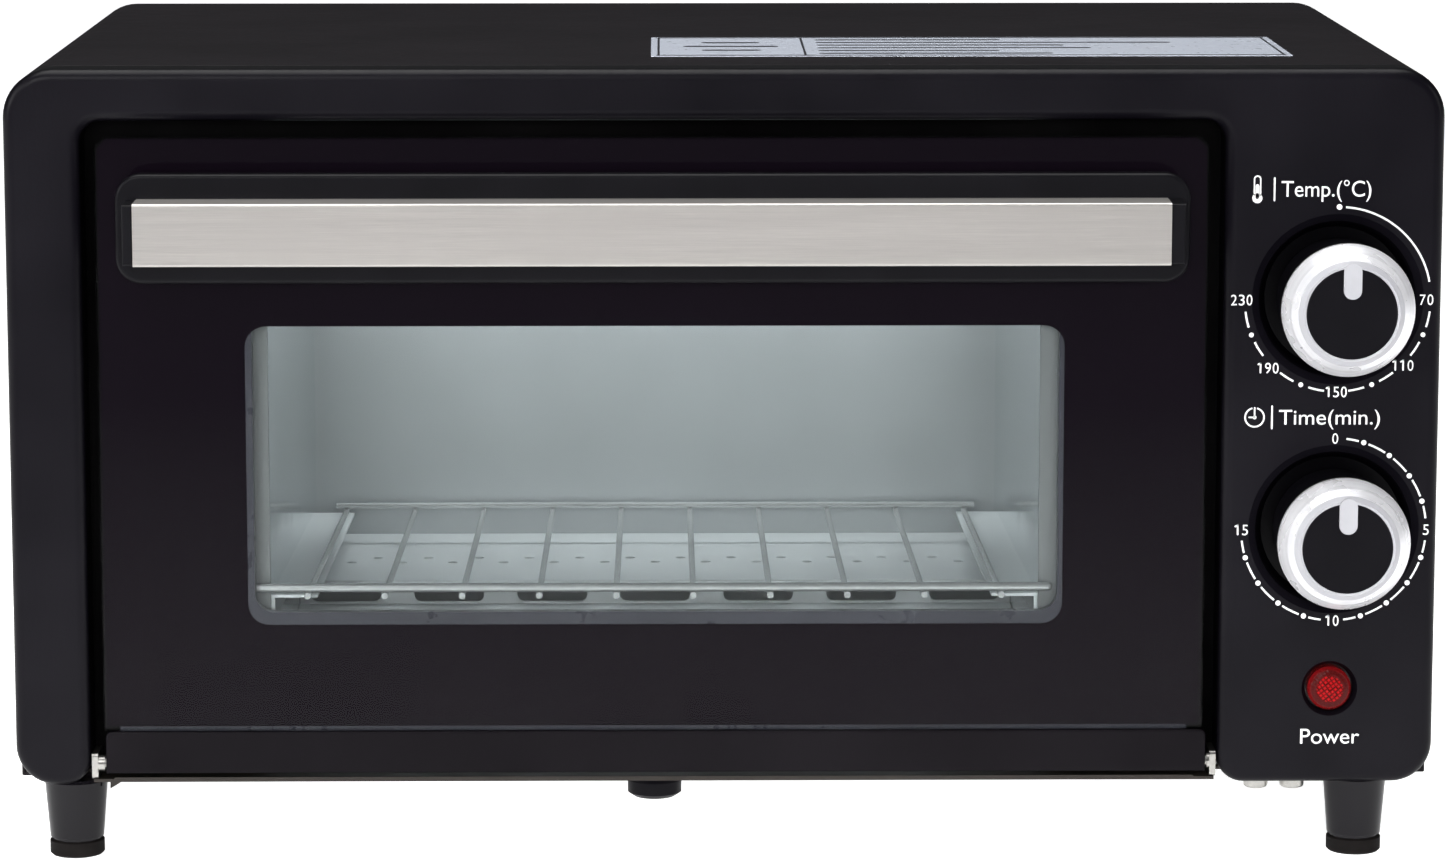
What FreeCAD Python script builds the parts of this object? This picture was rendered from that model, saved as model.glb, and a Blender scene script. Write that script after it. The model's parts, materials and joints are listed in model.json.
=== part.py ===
"""Two-knob toaster oven with a drop-down glass door, as a parametric assembly.

Frame: +X to the user's right, +Y to the back (the door faces -Y), +Z up.  The origin lies on the
surface that the feet stand on, in the middle of the oven's width and of its depth over the knobs.
All sizes are millimetres.
"""
import FreeCAD, Part
import Sketcher
import math
import os
import re

# ---------------------------------------------------------------------------------------------
# Driving dimensions
# ---------------------------------------------------------------------------------------------
SIZES = {
    # cabinet
    "case_width": (370, "overall width of the cabinet"),
    "case_top": (208, "height of the cabinet's top above the table"),
    "case_foot": (20.8, "height of the cabinet's lower edge above the table"),
    "case_depth": (226, "depth of the cabinet from the face of the front frame"),
    "front_y": (-99.2, "face of the front frame"),
    "frame_depth": (13, "depth of the front frame"),
    "frame_wall": (1.2, "thickness of the front frame's wall"),
    "sheet_wall": (0.8, "thickness of the sheet-steel pieces"),
    "corner_top": (12.5, "radius of the cabinet's upper corners"),
    "corner_low": (10.5, "radius of the front frame's lower corners"),
    "face_round": (3, "rounding of the front frame's face edges"),
    "seam_round": (0.6, "rounding of the seam between frame and casing"),
    "casing_low": (21.6, "top of the casing's lower flange"),
    # door opening in the front frame
    "opening_left": (-165.4, "left side of the door opening"),
    "opening_right": (128.6, "right side of the door opening"),
    "opening_top": (194.7, "top of the door opening"),
    "opening_round": (5.5, "corner radius of the door opening"),
    "leg_round": (7.2, "rounding at the foot of the frame beside the opening"),
    # door
    "door_left": (-162, "left edge of the glass"),
    "door_right": (124.8, "right edge of the glass"),
    "door_top": (190.5, "top edge of the glass"),
    "glass_set": (1.5, "set-back of the glass from the frame's face"),
    "glass_wall": (3.2, "thickness of the glass"),
    "glass_corner": (2.6, "chamfer of the glass's upper corners"),
    "rail_low": (23.9, "lower edge of the door's bottom rail"),
    "rail_high": (35, "upper edge of the door's bottom rail"),
    "rail_set": (0.9, "set-back of the bottom rail from the frame's face"),
    "hinge_depth": (3.6, "door hinge line behind the frame's face"),
    "hinge_height": (26.2, "door hinge line above the table"),
    "pin_radius": (1.5, "radius of the door's hinge pins"),
    "pane_left": (-122.3, "left side of the window in the door's inner frame"),
    "pane_right": (86.7, "right side of the window in the door's inner frame"),
    "pane_low": (66, "lower side of the window in the door's inner frame"),
    "pane_high": (145, "upper side of the window in the door's inner frame"),
    "pane_round": (5, "corner radius of that window"),
    # handle
    "grip_left": (-155.1, "left end of the handle moulding"),
    "grip_right": (118.4, "right end of the handle moulding"),
    "grip_low": (154.6, "lower edge of the handle moulding"),
    "grip_high": (182.6, "upper edge of the handle moulding"),
    "grip_round": (6.5, "corner radius of the handle moulding"),
    "grip_face": (13.5, "face of the moulding in front of the frame"),
    "grip_wall": (4, "thickness of the moulding's plate"),
    "strip_left": (-149.5, "left end of the handle's metal strip"),
    "strip_right": (112.4, "right end of the metal strip"),
    "strip_low": (160.4, "lower edge of the metal strip"),
    "strip_high": (176.4, "upper edge of the metal strip"),
    "strip_face": (25.8, "face of the metal strip in front of the frame"),
    "cap_length": (2.7, "length of the handle's end caps beside the strip"),
    "arm_width": (30, "width of each handle arm"),
    "screw_height": (168.6, "height of the handle screws"),
    # cavity
    "cavity_left": (-119, "left wall of the cavity"),
    "cavity_right": (82.5, "right wall of the cavity"),
    "cavity_top": (186, "roof of the cavity"),
    "cavity_back": (196, "back wall of the cavity behind the frame's face"),
    "cavity_front": (16.2, "front of the cavity's walls behind the frame's face"),
    "liner_lip": (6, "reach of the cavity liner's front flange beside the door"),
    "heater_depth": (104, "heaters behind the frame's face"),
    "heater_radius": (4, "radius of a heater tube"),
    "heater_high": (170, "height of the upper heater"),
    "heater_low": (39, "height of the lower heater"),
    "guard_top": (52.5, "top of the lower heater guard"),
    "guard_front": (121, "front wall of the guard behind the frame's face"),
    "guard_drop": (7.5, "height of the guard's front wall"),
    "guard_pitch": (29.2, "pitch of the cut-outs in the guard's front wall"),
    "guard_slot": (19.8, "width of a cut-out in the guard's front wall"),
    "guard_hole": (1.5, "radius of the small holes in the guard"),
    # rack
    "rack_front": (10, "front bar of the rack behind the frame's face"),
    "rack_height": (69.5, "height of the rack's wires at the front bar"),
    "rack_fall": (2.42, "fall of the rack towards the back, in degrees"),
    "rack_length": (171, "length of the rack's wires"),
    "rack_pitch": (20.15, "pitch of the rack's wires"),
    "wire_radius": (0.85, "radius of a rack wire"),
    "bar_radius": (1.2, "radius of the rack's front bar"),
    "bar_left": (-122, "left end of the rack's front bar"),
    "bar_right": (84.6, "right end of the rack's front bar"),
    # controls
    "knob_x": (158, "line of the two knobs"),
    "temperature_z": (148.4, "height of the temperature knob"),
    "timer_z": (88.2, "height of the timer knob"),
    "knob_radius": (17, "radius of a knob's metal ring"),
    "knob_face": (11.6, "radius of a knob's black face"),
    "knob_reach": (29, "reach of the knobs in front of the frame's face"),
    "shaft_radius": (3, "radius of a knob shaft"),
    "well_radius": (21, "radius of the dish around a knob"),
    "well_floor": (18.4, "radius of the dish's floor"),
    "well_depth": (5, "depth of the dish"),
    "lamp_x": (157.7, "line of the pilot lamp"),
    "lamp_z": (46.1, "height of the pilot lamp"),
    "lamp_radius": (5.7, "radius of the lamp's lens"),
    "dimple_radius": (7.1, "radius of the recess around the lamp"),
    # feet and underside
    "foot_left": (-170.7, "line of the left feet"),
    "foot_right": (166.4, "line of the right feet"),
    "foot_front": (13, "front feet behind the frame's face"),
    "foot_back": (204, "rear feet behind the frame's face"),
    "foot_top": (8.3, "radius of a leg at the top"),
    "foot_tip": (7.05, "radius of a leg at the pad"),
    "pad_height": (4.2, "height of a rubber pad"),
    "tray_left": (-112, "left edge of the crumb tray"),
    "tray_right": (76, "right edge of the crumb tray"),
    "tray_front": (18, "front edge of the crumb tray behind the frame's face"),
    "tray_back": (204.6, "crumb tray hinge behind the frame's face"),
    "tray_low": (20.6, "underside of the crumb tray"),
    "tray_pivot": (19.4, "height of the crumb tray's hinge"),
    "tray_knob_x": (-18.4, "line of the crumb tray's knob"),
    "tray_knob_depth": (14.5, "crumb tray's knob behind the frame's face"),
    "tray_knob_radius": (7.1, "radius of the crumb tray's knob"),
    # label
    "label_left": (-19, "left edge of the label on top"),
    "label_right": (150, "right edge of the label on top"),
    "label_front": (38, "front edge of the label behind the frame's face"),
    "label_back": (98, "back edge of the label behind the frame's face"),
    # openings in the skins
    "cord_radius": (4.4, "radius of the cord inlet hole"),
    "cord_x": (150, "line of the cord inlet hole"),
    "cord_z": (48, "height of the cord inlet hole"),
}

doc = FreeCAD.newDocument("toaster_oven")
dims = doc.addObject("Spreadsheet::Sheet", "Dims")
for row, (alias, (number, meaning)) in enumerate(SIZES.items(), start=1):
    dims.set(f"A{row}", meaning)
    dims.set(f"B{row}", str(number))
    dims.setAlias(f"B{row}", alias)
doc.recompute()

NODES = {}
WORD = re.compile(r"[a-z][a-z_]+")
X_AXIS = FreeCAD.Vector(1, 0, 0)
Y_AXIS = FreeCAD.Vector(0, 1, 0)
ALONG = {
    "x": FreeCAD.Rotation(Y_AXIS, 90),
    "y": FreeCAD.Rotation(X_AXIS, -90),
    "z": FreeCAD.Rotation(),
}
FACING_FRONT = FreeCAD.Rotation(X_AXIS, 90)
KNOBS = {"temperature": "temperature_z", "timer": "timer_z"}
PANEL_SCREWS = ("139.6", "149.1")
REAR_SCREWS = (("-176", "60"), ("-176", "150"), ("176", "60"), ("176", "150"),
               ("-90", "200"), ("90", "200"), ("-90", "29"), ("90", "29"))
ARMS = {"left": "grip_left + 26", "right": "grip_right - 19"}
PIN_SEATS = (
    ("left", "door_left - 1", "door_left + 7"),
    ("right", "door_right - 7", "door_right + 2"),
)
FEET = {
    "front_left": ("foot_left", "foot_front"),
    "front_right": ("foot_right", "foot_front"),
    "rear_left": ("foot_left", "foot_back"),
    "rear_right": ("foot_right", "foot_back"),
}


# ---------------------------------------------------------------------------------------------
# Building blocks
# ---------------------------------------------------------------------------------------------
def size(alias):
    """Number of one driving dimension, read from the sheet."""
    return float(dims.get(alias))


def formula(text):
    """A formula in the sheet's aliases, written for the expression engine."""
    return WORD.sub(lambda w: "Dims." + w.group() if w.group() in SIZES else w.group(), str(text))


def bind(thing, path, text):
    thing.setExpression(path, formula(text))


def place(thing, x="0", y="0", z="0", turn=None):
    """Placement at formulas x, y, z; y is measured back from the frame's face."""
    if turn is not None:
        thing.Placement = FreeCAD.Placement(FreeCAD.Vector(), turn)
    bind(thing, "Placement.Base.x", x)
    bind(thing, "Placement.Base.y", f"front_y + ({y})")
    bind(thing, "Placement.Base.z", z)
    thing.recompute()
    return thing


def box(name, x, y, z):
    """Box between pairs of formulas; y is measured back from the frame's face."""
    solid = doc.addObject("Part::Box", name)
    for edge, (low, high) in (("Length", x), ("Width", y), ("Height", z)):
        bind(solid, edge, f"({high}) - ({low})")
    return place(solid, x[0], y[0], z[0])


def rod(name, axis, start, end, radius, x="0", y="0", z="0"):
    """Round rod along one axis from start to end; the other two coordinates fix its line."""
    solid = doc.addObject("Part::Cylinder", name)
    bind(solid, "Radius", radius)
    bind(solid, "Height", f"({end}) - ({start})")
    line = {"x": x, "y": y, "z": z, axis: start}
    return place(solid, line["x"], line["y"], line["z"], ALONG[axis])


def cone(name, axis, start, end, radius, radius_end, x="0", y="0", z="0"):
    solid = doc.addObject("Part::Cone", name)
    bind(solid, "Radius1", radius)
    bind(solid, "Radius2", radius_end)
    bind(solid, "Height", f"({end}) - ({start})")
    line = {"x": x, "y": y, "z": z, axis: start}
    return place(solid, line["x"], line["y"], line["z"], ALONG[axis])


def fuse(name, *pieces):
    result = doc.addObject("Part::MultiFuse", name)
    result.Shapes = list(pieces)
    result.Refine = True
    result.recompute()
    return result


def cut(name, base, *tools):
    tool = tools[0]
    if len(tools) > 1:
        tool = group(name + "_tools", *tools)
    result = doc.addObject("Part::Cut", name)
    result.Base = base
    result.Tool = tool
    result.Refine = True
    result.recompute()
    return result


def group(name, *pieces):
    """Separate solids kept side by side in one object."""
    result = doc.addObject("Part::Compound", name)
    result.Links = list(pieces)
    result.recompute()
    return result


def runs_along(edge, axis):
    """True where a straight edge is parallel to the axis."""
    if edge.Curve.TypeId != "Part::GeomLine":
        return False
    return abs(getattr(edge.tangentAt(edge.FirstParameter), axis)) > 0.999


def rounded(name, base, *choices):
    """Base with edges rounded; each choice is a radius and a test that picks the edges."""
    edges = []
    for radius, test in choices:
        picked = [i for i, edge in enumerate(base.Shape.Edges, start=1) if test(edge)]
        edges += [(i, radius, radius) for i in picked]
    result = doc.addObject("Part::Fillet", name)
    result.Base = base
    result.Edges = edges
    result.recompute()
    return result


def in_plane(depth):
    """Test for edges that lie in one plane parallel to the frame's face."""
    level = number(f"front_y + ({depth})")
    return lambda e: abs(e.BoundBox.YMin - level) < 0.001 and abs(e.BoundBox.YMax - level) < 0.001


def block(name, x, y, z, radius, axis="y"):
    """Box whose four edges along one axis are rounded."""
    blank = box(name + "_blank", x, y, z)
    return rounded(name, blank, (radius, lambda edge: runs_along(edge, axis)))


def node(name, piece):
    """Names a finished sub-part; the name is also its file's."""
    piece.Label = name
    NODES[name] = piece
    return piece


def origin_plane(body, role):
    return next(item for item in body.Origin.OriginFeatures if item.Role == role)


def outline(body, name, role, corners):
    """Closed polygon sketch; every corner is held by two formulas."""
    sketch = body.newObject("Sketcher::SketchObject", name)
    sketch.AttachmentSupport = [(origin_plane(body, role), "")]
    sketch.MapMode = "FlatFace"
    count = len(corners)
    points = [FreeCAD.Vector(number(u), number(v), 0) for u, v in corners]
    for i in range(count):
        sketch.addGeometry(Part.LineSegment(points[i], points[(i + 1) % count]), False)
    for i in range(count):
        sketch.addConstraint(Sketcher.Constraint("Coincident", i, 2, (i + 1) % count, 1))
    for i, (u, v) in enumerate(corners):
        for kind, axis, text in (("DistanceX", -2, u), ("DistanceY", -1, v)):
            if text == "0":
                sketch.addConstraint(Sketcher.Constraint("PointOnObject", i, 1, axis))
                continue
            held = sketch.addConstraint(Sketcher.Constraint(kind, -1, 1, i, 1, number(text)))
            sketch.setExpression(f"Constraints[{held}]", formula(text))
    return sketch


def screw_depth(depth):
    """Depth of a leg's screw: off the leg's axis, towards the middle of the cabinet."""
    return f"{depth} - 6.4" if depth == "foot_back" else f"{depth} + 6.4"


def number(text):
    """Value of a formula, worked out by the sheet's own engine."""
    return float(dims.evalExpression(formula(text).replace("Dims.", "")))


def turned(name, corners, turn=None, x="0", y="0", z="0"):
    """Body turned about its own Z axis from an outline of (radius, height) corners."""
    body = doc.addObject("PartDesign::Body", name)
    sketch = outline(body, name + "_outline", "XZ_Plane", corners)
    turning = body.newObject("PartDesign::Revolution", name + "_turning")
    turning.Profile = sketch
    turning.ReferenceAxis = (sketch, ["V_Axis"])
    turning.Angle = 360
    doc.recompute([sketch, turning, body])
    return place(body, x, y, z, turn)


# ---------------------------------------------------------------------------------------------
# Front frame: a pressed shell, open behind, around the door and the controls
# ---------------------------------------------------------------------------------------------
def frame_blank(name, inset, back):
    """The frame's solid outline, shrunk by the inset on every face but the back."""
    outer = box(
        name + "_outer",
        (f"-case_width / 2 + {inset}", f"case_width / 2 - {inset}"),
        (inset, back),
        (f"case_foot + {inset}", f"case_top - {inset}"),
    )
    step = size("frame_wall") if inset == "frame_wall" else 0
    middle = size("case_top") / 2
    outer = rounded(
        name + "_corners", outer,
        (size("corner_top") - step, lambda e: runs_along(e, "y") and e.CenterOfMass.z > middle),
        (size("corner_low") - step, lambda e: runs_along(e, "y") and e.CenterOfMass.z < middle),
    )
    gap = box(
        name + "_gap_blank",
        (f"opening_left - {inset}", f"opening_right + {inset}"),
        ("-5", "frame_depth + 5"),
        ("0", f"opening_top + {inset}"),
    )
    gap = rounded(
        name + "_gap", gap,
        (size("opening_round") + step, lambda e: runs_along(e, "y") and e.CenterOfMass.z > middle),
    )
    blank = cut(name + "_opened", outer, gap)
    foot = size("case_foot") + step
    left = size("opening_left") - step
    right = size("opening_right") + step

    def beside_opening(edge):
        point = edge.CenterOfMass
        near = min(abs(point.x - left), abs(point.x - right)) < 0.01
        return runs_along(edge, "y") and near and abs(point.z - foot) < 0.01

    blank = rounded(name + "_legs", blank, (size("leg_round") - step, beside_opening))
    softened = rounded(name + "_softened", blank, (size("face_round") - step, in_plane(inset)))
    if step:
        return softened
    return rounded(name + "_back_softened", softened, (size("seam_round"), in_plane(back)))


shell = frame_blank("frame_shell", "0", "frame_depth")
hollow = frame_blank("frame_hollow", "frame_wall", "frame_depth + 2")
frame = cut("frame_pressed", shell, hollow)
cups = []
bores = []
for knob, height in KNOBS.items():
    cups.append(cone(f"{knob}_cup", "y", "0.8", "well_depth + frame_wall",
                     "well_radius + frame_wall - 0.3", "well_floor + frame_wall",
                     x="knob_x", z=height))
    bores.append(cone(f"{knob}_dish", "y", "0", "well_depth", "well_radius", "well_floor",
                      x="knob_x", z=height))
    bores.append(cone(f"{knob}_dish_lip", "y", "-0.01", "1.2", "well_radius + 1.2",
                      "well_radius - 0.6", x="knob_x", z=height))
    bores.append(rod(f"{knob}_panel_hole", "y", "1", "20", "shaft_radius + 2",
                     x="knob_x", z=height))
cups.append(rod("lamp_cup", "y", "0.8", "4", "dimple_radius + 0.6", x="lamp_x", z="lamp_z"))
bores.append(cone("lamp_dimple", "y", "-0.01", "2.2", "dimple_radius + 0.2", "lamp_radius + 0.5",
                  x="lamp_x", z="lamp_z"))
bores.append(rod("lamp_panel_hole", "y", "1", "20", "lamp_radius + 0.5", x="lamp_x", z="lamp_z"))
for k, line in enumerate(PANEL_SCREWS):
    bores.append(rod(f"panel_screw_hole_{k}", "z", "10", "24", "1.8", x=line, y="7"))
node("front_frame", cut("front_frame_body", fuse("frame_cupped", frame, *cups), *bores))


# ---------------------------------------------------------------------------------------------
# Cabinet skins
# ---------------------------------------------------------------------------------------------
def arch(name, inset, front, back, low, radius):
    """Solid with the cabinet's cross-section: square below, rounded at the two upper corners."""
    blank = box(
        name + "_blank",
        (f"-case_width / 2 + ({inset})", f"case_width / 2 - ({inset})"),
        (front, back),
        (low, f"case_top - ({inset})"),
    )
    middle = size("case_top") / 2
    return rounded(name, blank,
                   (radius, lambda e: runs_along(e, "y") and e.CenterOfMass.z > middle))


def outer_casing():
    """Steel wrap over both sides and the top, with lower flanges and air slots on the control side."""
    radius = size("corner_top")
    skin = arch("casing_blank", "0", "frame_depth", "case_depth", "case_foot", radius)
    skin = rounded("casing_skin", skin, (size("seam_round"), in_plane("frame_depth")),
                   (size("seam_round"), in_plane("case_depth")))
    room = arch("casing_room", "sheet_wall", "frame_depth - 1", "case_depth + 1", "case_foot - 1",
                radius - size("sheet_wall"))
    tools = [room]
    for row, low in enumerate((44, 148)):
        for k in range(8):
            back = f"118 + {11 * k}"
            tools.append(box(f"side_slot_{row}_{k}", ("case_width / 2 - 3", "case_width / 2 + 3"),
                             (back, back + " + 3.2"), (str(low), str(low + 26))))
    wrap = cut("casing_wrap", skin, *tools)
    flanges = []
    for side, x in (("left", ("-case_width / 2 + sheet_wall / 2", "-case_width / 2 + 28")),
                    ("right", ("case_width / 2 - 28", "case_width / 2 - sheet_wall / 2"))):
        flanges.append(box(f"casing_flange_{side}", x, ("frame_depth", "case_depth"),
                           ("case_foot", "casing_low")))
    joined = fuse("casing_joined", wrap, *flanges)
    holes = [rod(f"{foot}_casing_hole", "z", "10", "24", "1.7", x=line, y=screw_depth(depth))
             for foot, (line, depth) in FEET.items()]
    return cut("casing_body", joined, *holes)


node("outer_casing", outer_casing())


def rear_panel():
    """Back cover: a shallow pan inside the casing, with vents and the cord inlet hole."""
    radius = size("corner_top")
    pan = arch("rear_pan", "sheet_wall + 0.1", "case_depth - 9", "case_depth - 0.4", "casing_low + 0.9",
               radius - size("sheet_wall") - 0.1)
    room = arch("rear_room", "2 * sheet_wall + 0.1", "case_depth - 10", "case_depth - 0.4 - sheet_wall",
                "casing_low + 1.7", radius - 2 * size("sheet_wall") - 0.1)
    tools = [room]
    for column, left in enumerate((-150, -90, 30, 122)):
        for k in range(6):
            low = 128 + 8 * k
            tools.append(box(f"rear_slot_{column}_{k}", (str(left), str(left + 36)),
                             ("case_depth - 5", "case_depth + 2"), (str(low), str(low + 2.6))))
    for k in range(5):
        low = 64 + 8 * k
        tools.append(box(f"rear_low_slot_{k}", ("122", "158"), ("case_depth - 5", "case_depth + 2"),
                         (str(low), str(low + 2.6))))
    tools.append(rod("cord_inlet", "y", "case_depth - 5", "case_depth + 2", "cord_radius",
                     x="cord_x", z="cord_z"))
    tools += [rod(f"rear_screw_hole_{k}", "y", "case_depth - 5", "case_depth + 2", "1.8", x=x, z=z)
              for k, (x, z) in enumerate(REAR_SCREWS)]
    return cut("rear_panel_body", pan, *tools)


node("rear_panel", rear_panel())


def base_plate():
    """Floor of the cabinet, with a tongue and lip under the door, the crumb-tray opening and ears."""
    wide = box("base_wide", ("-case_width / 2 + 1.2", "case_width / 2 - 1.2"),
               ("frame_depth + 0.3", "case_depth - 1.4"), ("casing_low", "casing_low + sheet_wall"))
    tongue = box("base_tongue", ("opening_left + 0.6", "opening_right - 0.6"),
                 ("1.4", "frame_depth + 1"), ("casing_low", "casing_low + sheet_wall"))
    lip = box("base_lip", ("opening_left + 6", "opening_right - 6"), ("1.4", "2.2"),
              ("casing_low", "casing_low + 1.2"))
    ears = []
    for side, x in (("left", ("tray_left - 5", "tray_left - 3.4")),
                    ("right", ("tray_right + 3.4", "tray_right + 5"))):
        ears.append(block(f"tray_ear_{side}", x, ("tray_back - 2.6", "tray_back + 2.6"),
                          ("tray_pivot - 2.6", "casing_low + 0.4"), 1.2, axis="x"))
    gusset = box("front_gusset_blank", ("-161.4", "-155.6"), ("9.4", "10.2"),
                 ("casing_low - 3.6", "casing_low + 0.2"))
    gusset = corner_off("front_gusset", gusset)
    joined = fuse("base_joined", wide, tongue, lip, gusset, *ears)
    tools = [
        box("tray_opening", ("tray_left + 4", "tray_right - 4"), ("tray_front + 4", "tray_back - 8.6"),
            ("casing_low - 1", "casing_low + 2")),
        rod("tray_ear_bore", "x", "tray_left - 10", "tray_right + 10", "1.25",
            y="tray_back", z="tray_pivot"),
    ]
    for foot, (line, depth) in FEET.items():
        tools.append(rod(f"{foot}_base_hole", "z", "10", "24", "1.7", x=line, y=screw_depth(depth)))
    return cut("base_plate_body", joined, *tools)


def corner_off(name, plate):
    """Plate in the XZ plane with its lower right corner cut off along the diagonal."""
    low = plate.Shape.BoundBox
    wedge = Part.Face(Part.makePolygon([
        FreeCAD.Vector(low.XMin, low.YMin - 1, low.ZMin),
        FreeCAD.Vector(low.XMax, low.YMin - 1, low.ZMin),
        FreeCAD.Vector(low.XMax, low.YMin - 1, low.ZMax - 0.2),
        FreeCAD.Vector(low.XMin, low.YMin - 1, low.ZMin),
    ])).extrude(FreeCAD.Vector(0, 3, 0))
    tool = doc.addObject("Part::Feature", name + "_wedge")
    tool.Shape = wedge
    return cut(name, plate, tool)


node("base_plate", base_plate())


# ---------------------------------------------------------------------------------------------
# Cavity
# ---------------------------------------------------------------------------------------------
def heater_bores(name):
    return [rod(f"{name}_{level}", "x", "cavity_left - 20", "cavity_right + 20",
                "heater_radius + 1.2", y="heater_depth", z=level)
            for level in ("heater_high", "heater_low")]


def cavity_liner():
    """Bright steel hood: two side walls, a roof, and a front flange that lies on the front plate."""
    skin = box("liner_skin", ("cavity_left - sheet_wall", "cavity_right + sheet_wall"),
               ("cavity_front - 1.5 * sheet_wall", "cavity_back"),
               ("casing_low + sheet_wall", "cavity_top + sheet_wall"))
    flange = box("liner_flange", ("cavity_left - liner_lip", "cavity_right + liner_lip"),
                 ("cavity_front - 2 * sheet_wall", "cavity_front - sheet_wall"),
                 ("casing_low + sheet_wall", "cavity_top + 2 * sheet_wall"))
    room = box("liner_room", ("cavity_left", "cavity_right"), ("cavity_front - 4", "cavity_back + 1"),
               ("casing_low", "cavity_top"))
    blank = fuse("liner_blank", skin, flange)
    return cut("cavity_liner_body", blank, room, *heater_bores("liner_bore"))


node("cavity_liner", cavity_liner())
node("cavity_back_wall", box(
    "cavity_back_wall_body", ("cavity_left - sheet_wall", "cavity_right + sheet_wall"),
    ("cavity_back", "cavity_back + sheet_wall"),
    ("casing_low + sheet_wall", "cavity_top + sheet_wall")))


def cavity_front_plate():
    """Plate behind the door that carries the cavity's walls."""
    plate = box("front_plate_blank", ("-case_width / 2 + 1.4", "opening_right + 1.2"),
                ("cavity_front - sheet_wall", "cavity_front"),
                ("casing_low + sheet_wall", "case_top - 3"))
    left = -size("case_width") / 2 + 1.4
    plate = rounded("front_plate_corner", plate, (size("corner_top") - 1, lambda e: (
        runs_along(e, "y") and e.CenterOfMass.x < left + 1 and e.CenterOfMass.z > 100)))
    slack = "(sheet_wall + 0.2)"
    hole = box("front_plate_hole", (f"cavity_left - {slack}", f"cavity_right + {slack}"),
               ("0", "cavity_front + 2"), ("casing_low + 3", f"cavity_top + {slack}"))
    slots = [box(f"front_plate_slot_{k}", walls, ("0", "cavity_front + 2"),
                 ("casing_low", "casing_low + 4"))
             for k, walls in enumerate(((f"cavity_left - {slack}", "cavity_left + 0.2"),
                                        ("cavity_right - 0.2", f"cavity_right + {slack}")))]
    return cut("cavity_front_plate_body", plate, hole, *slots)


node("cavity_front_plate", cavity_front_plate())
node("control_side_wall", box(
    "control_side_wall_body", ("cavity_right + 28", "cavity_right + 28 + sheet_wall"),
    ("cavity_front", "case_depth - 12"), ("casing_low + sheet_wall", "case_top - 6")))

for level, name in (("heater_high", "upper_heater"), ("heater_low", "lower_heater")):
    tube = rod(f"{name}_tube", "x", "cavity_left - 14", "cavity_right + 14", "heater_radius",
               y="heater_depth", z=level)
    leads = rod(f"{name}_leads", "x", "cavity_left - 22", "cavity_right + 22", "1.4",
                y="heater_depth", z=level)
    node(name, fuse(f"{name}_body", tube, leads))

caps = []
for level in ("heater_high", "heater_low"):
    for side, start, end in (("left", "cavity_left - sheet_wall - 11", "cavity_left - sheet_wall"),
                             ("right", "cavity_right + sheet_wall", "cavity_right + sheet_wall + 11")):
        sleeve = rod(f"{level}_{side}_sleeve", "x", start, end, "heater_radius + 3.2",
                     y="heater_depth", z=level)
        bore = rod(f"{level}_{side}_sleeve_bore", "x", f"{start} - 1", f"{end} + 1",
                   "heater_radius + 0.05", y="heater_depth", z=level)
        caps.append(cut(f"{level}_{side}_cap", sleeve, bore))
node("heater_end_caps", group("heater_end_caps_body", *caps))


def lower_heater_guard():
    """Bent steel shelf over the rear of the lower heater: perforated top, slotted front wall."""
    side = ("cavity_left + 0.2", "cavity_right - 0.2")
    top = box("guard_top_sheet", side, ("guard_front", "cavity_back - 0.2"),
              ("guard_top - sheet_wall", "guard_top"))
    wall = box("guard_wall", side, ("guard_front", "guard_front + sheet_wall"),
               ("guard_top - guard_drop", "guard_top"))
    flange = box("guard_flange", side, ("guard_front - 9", "guard_front + sheet_wall"),
                 ("guard_top - guard_drop", "guard_top - guard_drop + sheet_wall"))
    top_y = size("front_y") + size("guard_front")
    bent = rounded("guard_bent", fuse("guard_folded", top, wall, flange), (0.7, lambda e: (
        runs_along(e, "x") and abs(e.CenterOfMass.y - top_y) < 0.01
        and e.CenterOfMass.z > size("guard_top") - 0.01)))
    centre = "(cavity_left + cavity_right) / 2"
    tools = []
    for k in range(-3, 4):
        middle = f"{centre} + {k} * guard_pitch"
        tools.append(block(f"guard_slot_{k + 3}", (f"{middle} - guard_slot / 2", f"{middle} + guard_slot / 2"),
                           ("guard_front - 3", "guard_front + 3"),
                           ("guard_top - guard_drop + 1.4", "guard_top - 0.9"), 2))
    for row, depth in enumerate(("guard_front + 28", "guard_front + 35")):
        for k in range(-6, 7):
            shift = k + 0.5 * row
            if abs(shift) > 6.2:
                continue
            tools.append(rod(f"guard_hole_{row}_{k + 6}", "z", "guard_top - 3", "guard_top + 2",
                             "guard_hole", x=f"{centre} + {shift} * guard_pitch / 2", y=depth))
    return cut("lower_heater_guard_body", bent, *tools)


node("lower_heater_guard", lower_heater_guard())


# ---------------------------------------------------------------------------------------------
# Rack and its rails
# ---------------------------------------------------------------------------------------------
FALL = FreeCAD.Rotation(X_AXIS, -size("rack_fall"))


def raw_box(name, x, y, z):
    """Box in a sub-part's own frame, before the sub-part is placed."""
    solid = doc.addObject("Part::Box", name)
    for edge, axis, (low, high) in (("Length", "x", x), ("Width", "y", y), ("Height", "z", z)):
        bind(solid, edge, f"({high}) - ({low})")
        bind(solid, f"Placement.Base.{axis}", low)
    solid.recompute()
    return solid


def raw_rod(name, axis, start, end, radius, **line):
    """Round rod in a sub-part's own frame."""
    solid = doc.addObject("Part::Cylinder", name)
    solid.Placement = FreeCAD.Placement(FreeCAD.Vector(), ALONG[axis])
    bind(solid, "Radius", radius)
    bind(solid, "Height", f"({end}) - ({start})")
    for letter in "xyz":
        bind(solid, f"Placement.Base.{letter}", start if letter == axis else line.get(letter, "0"))
    solid.recompute()
    return solid


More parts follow.
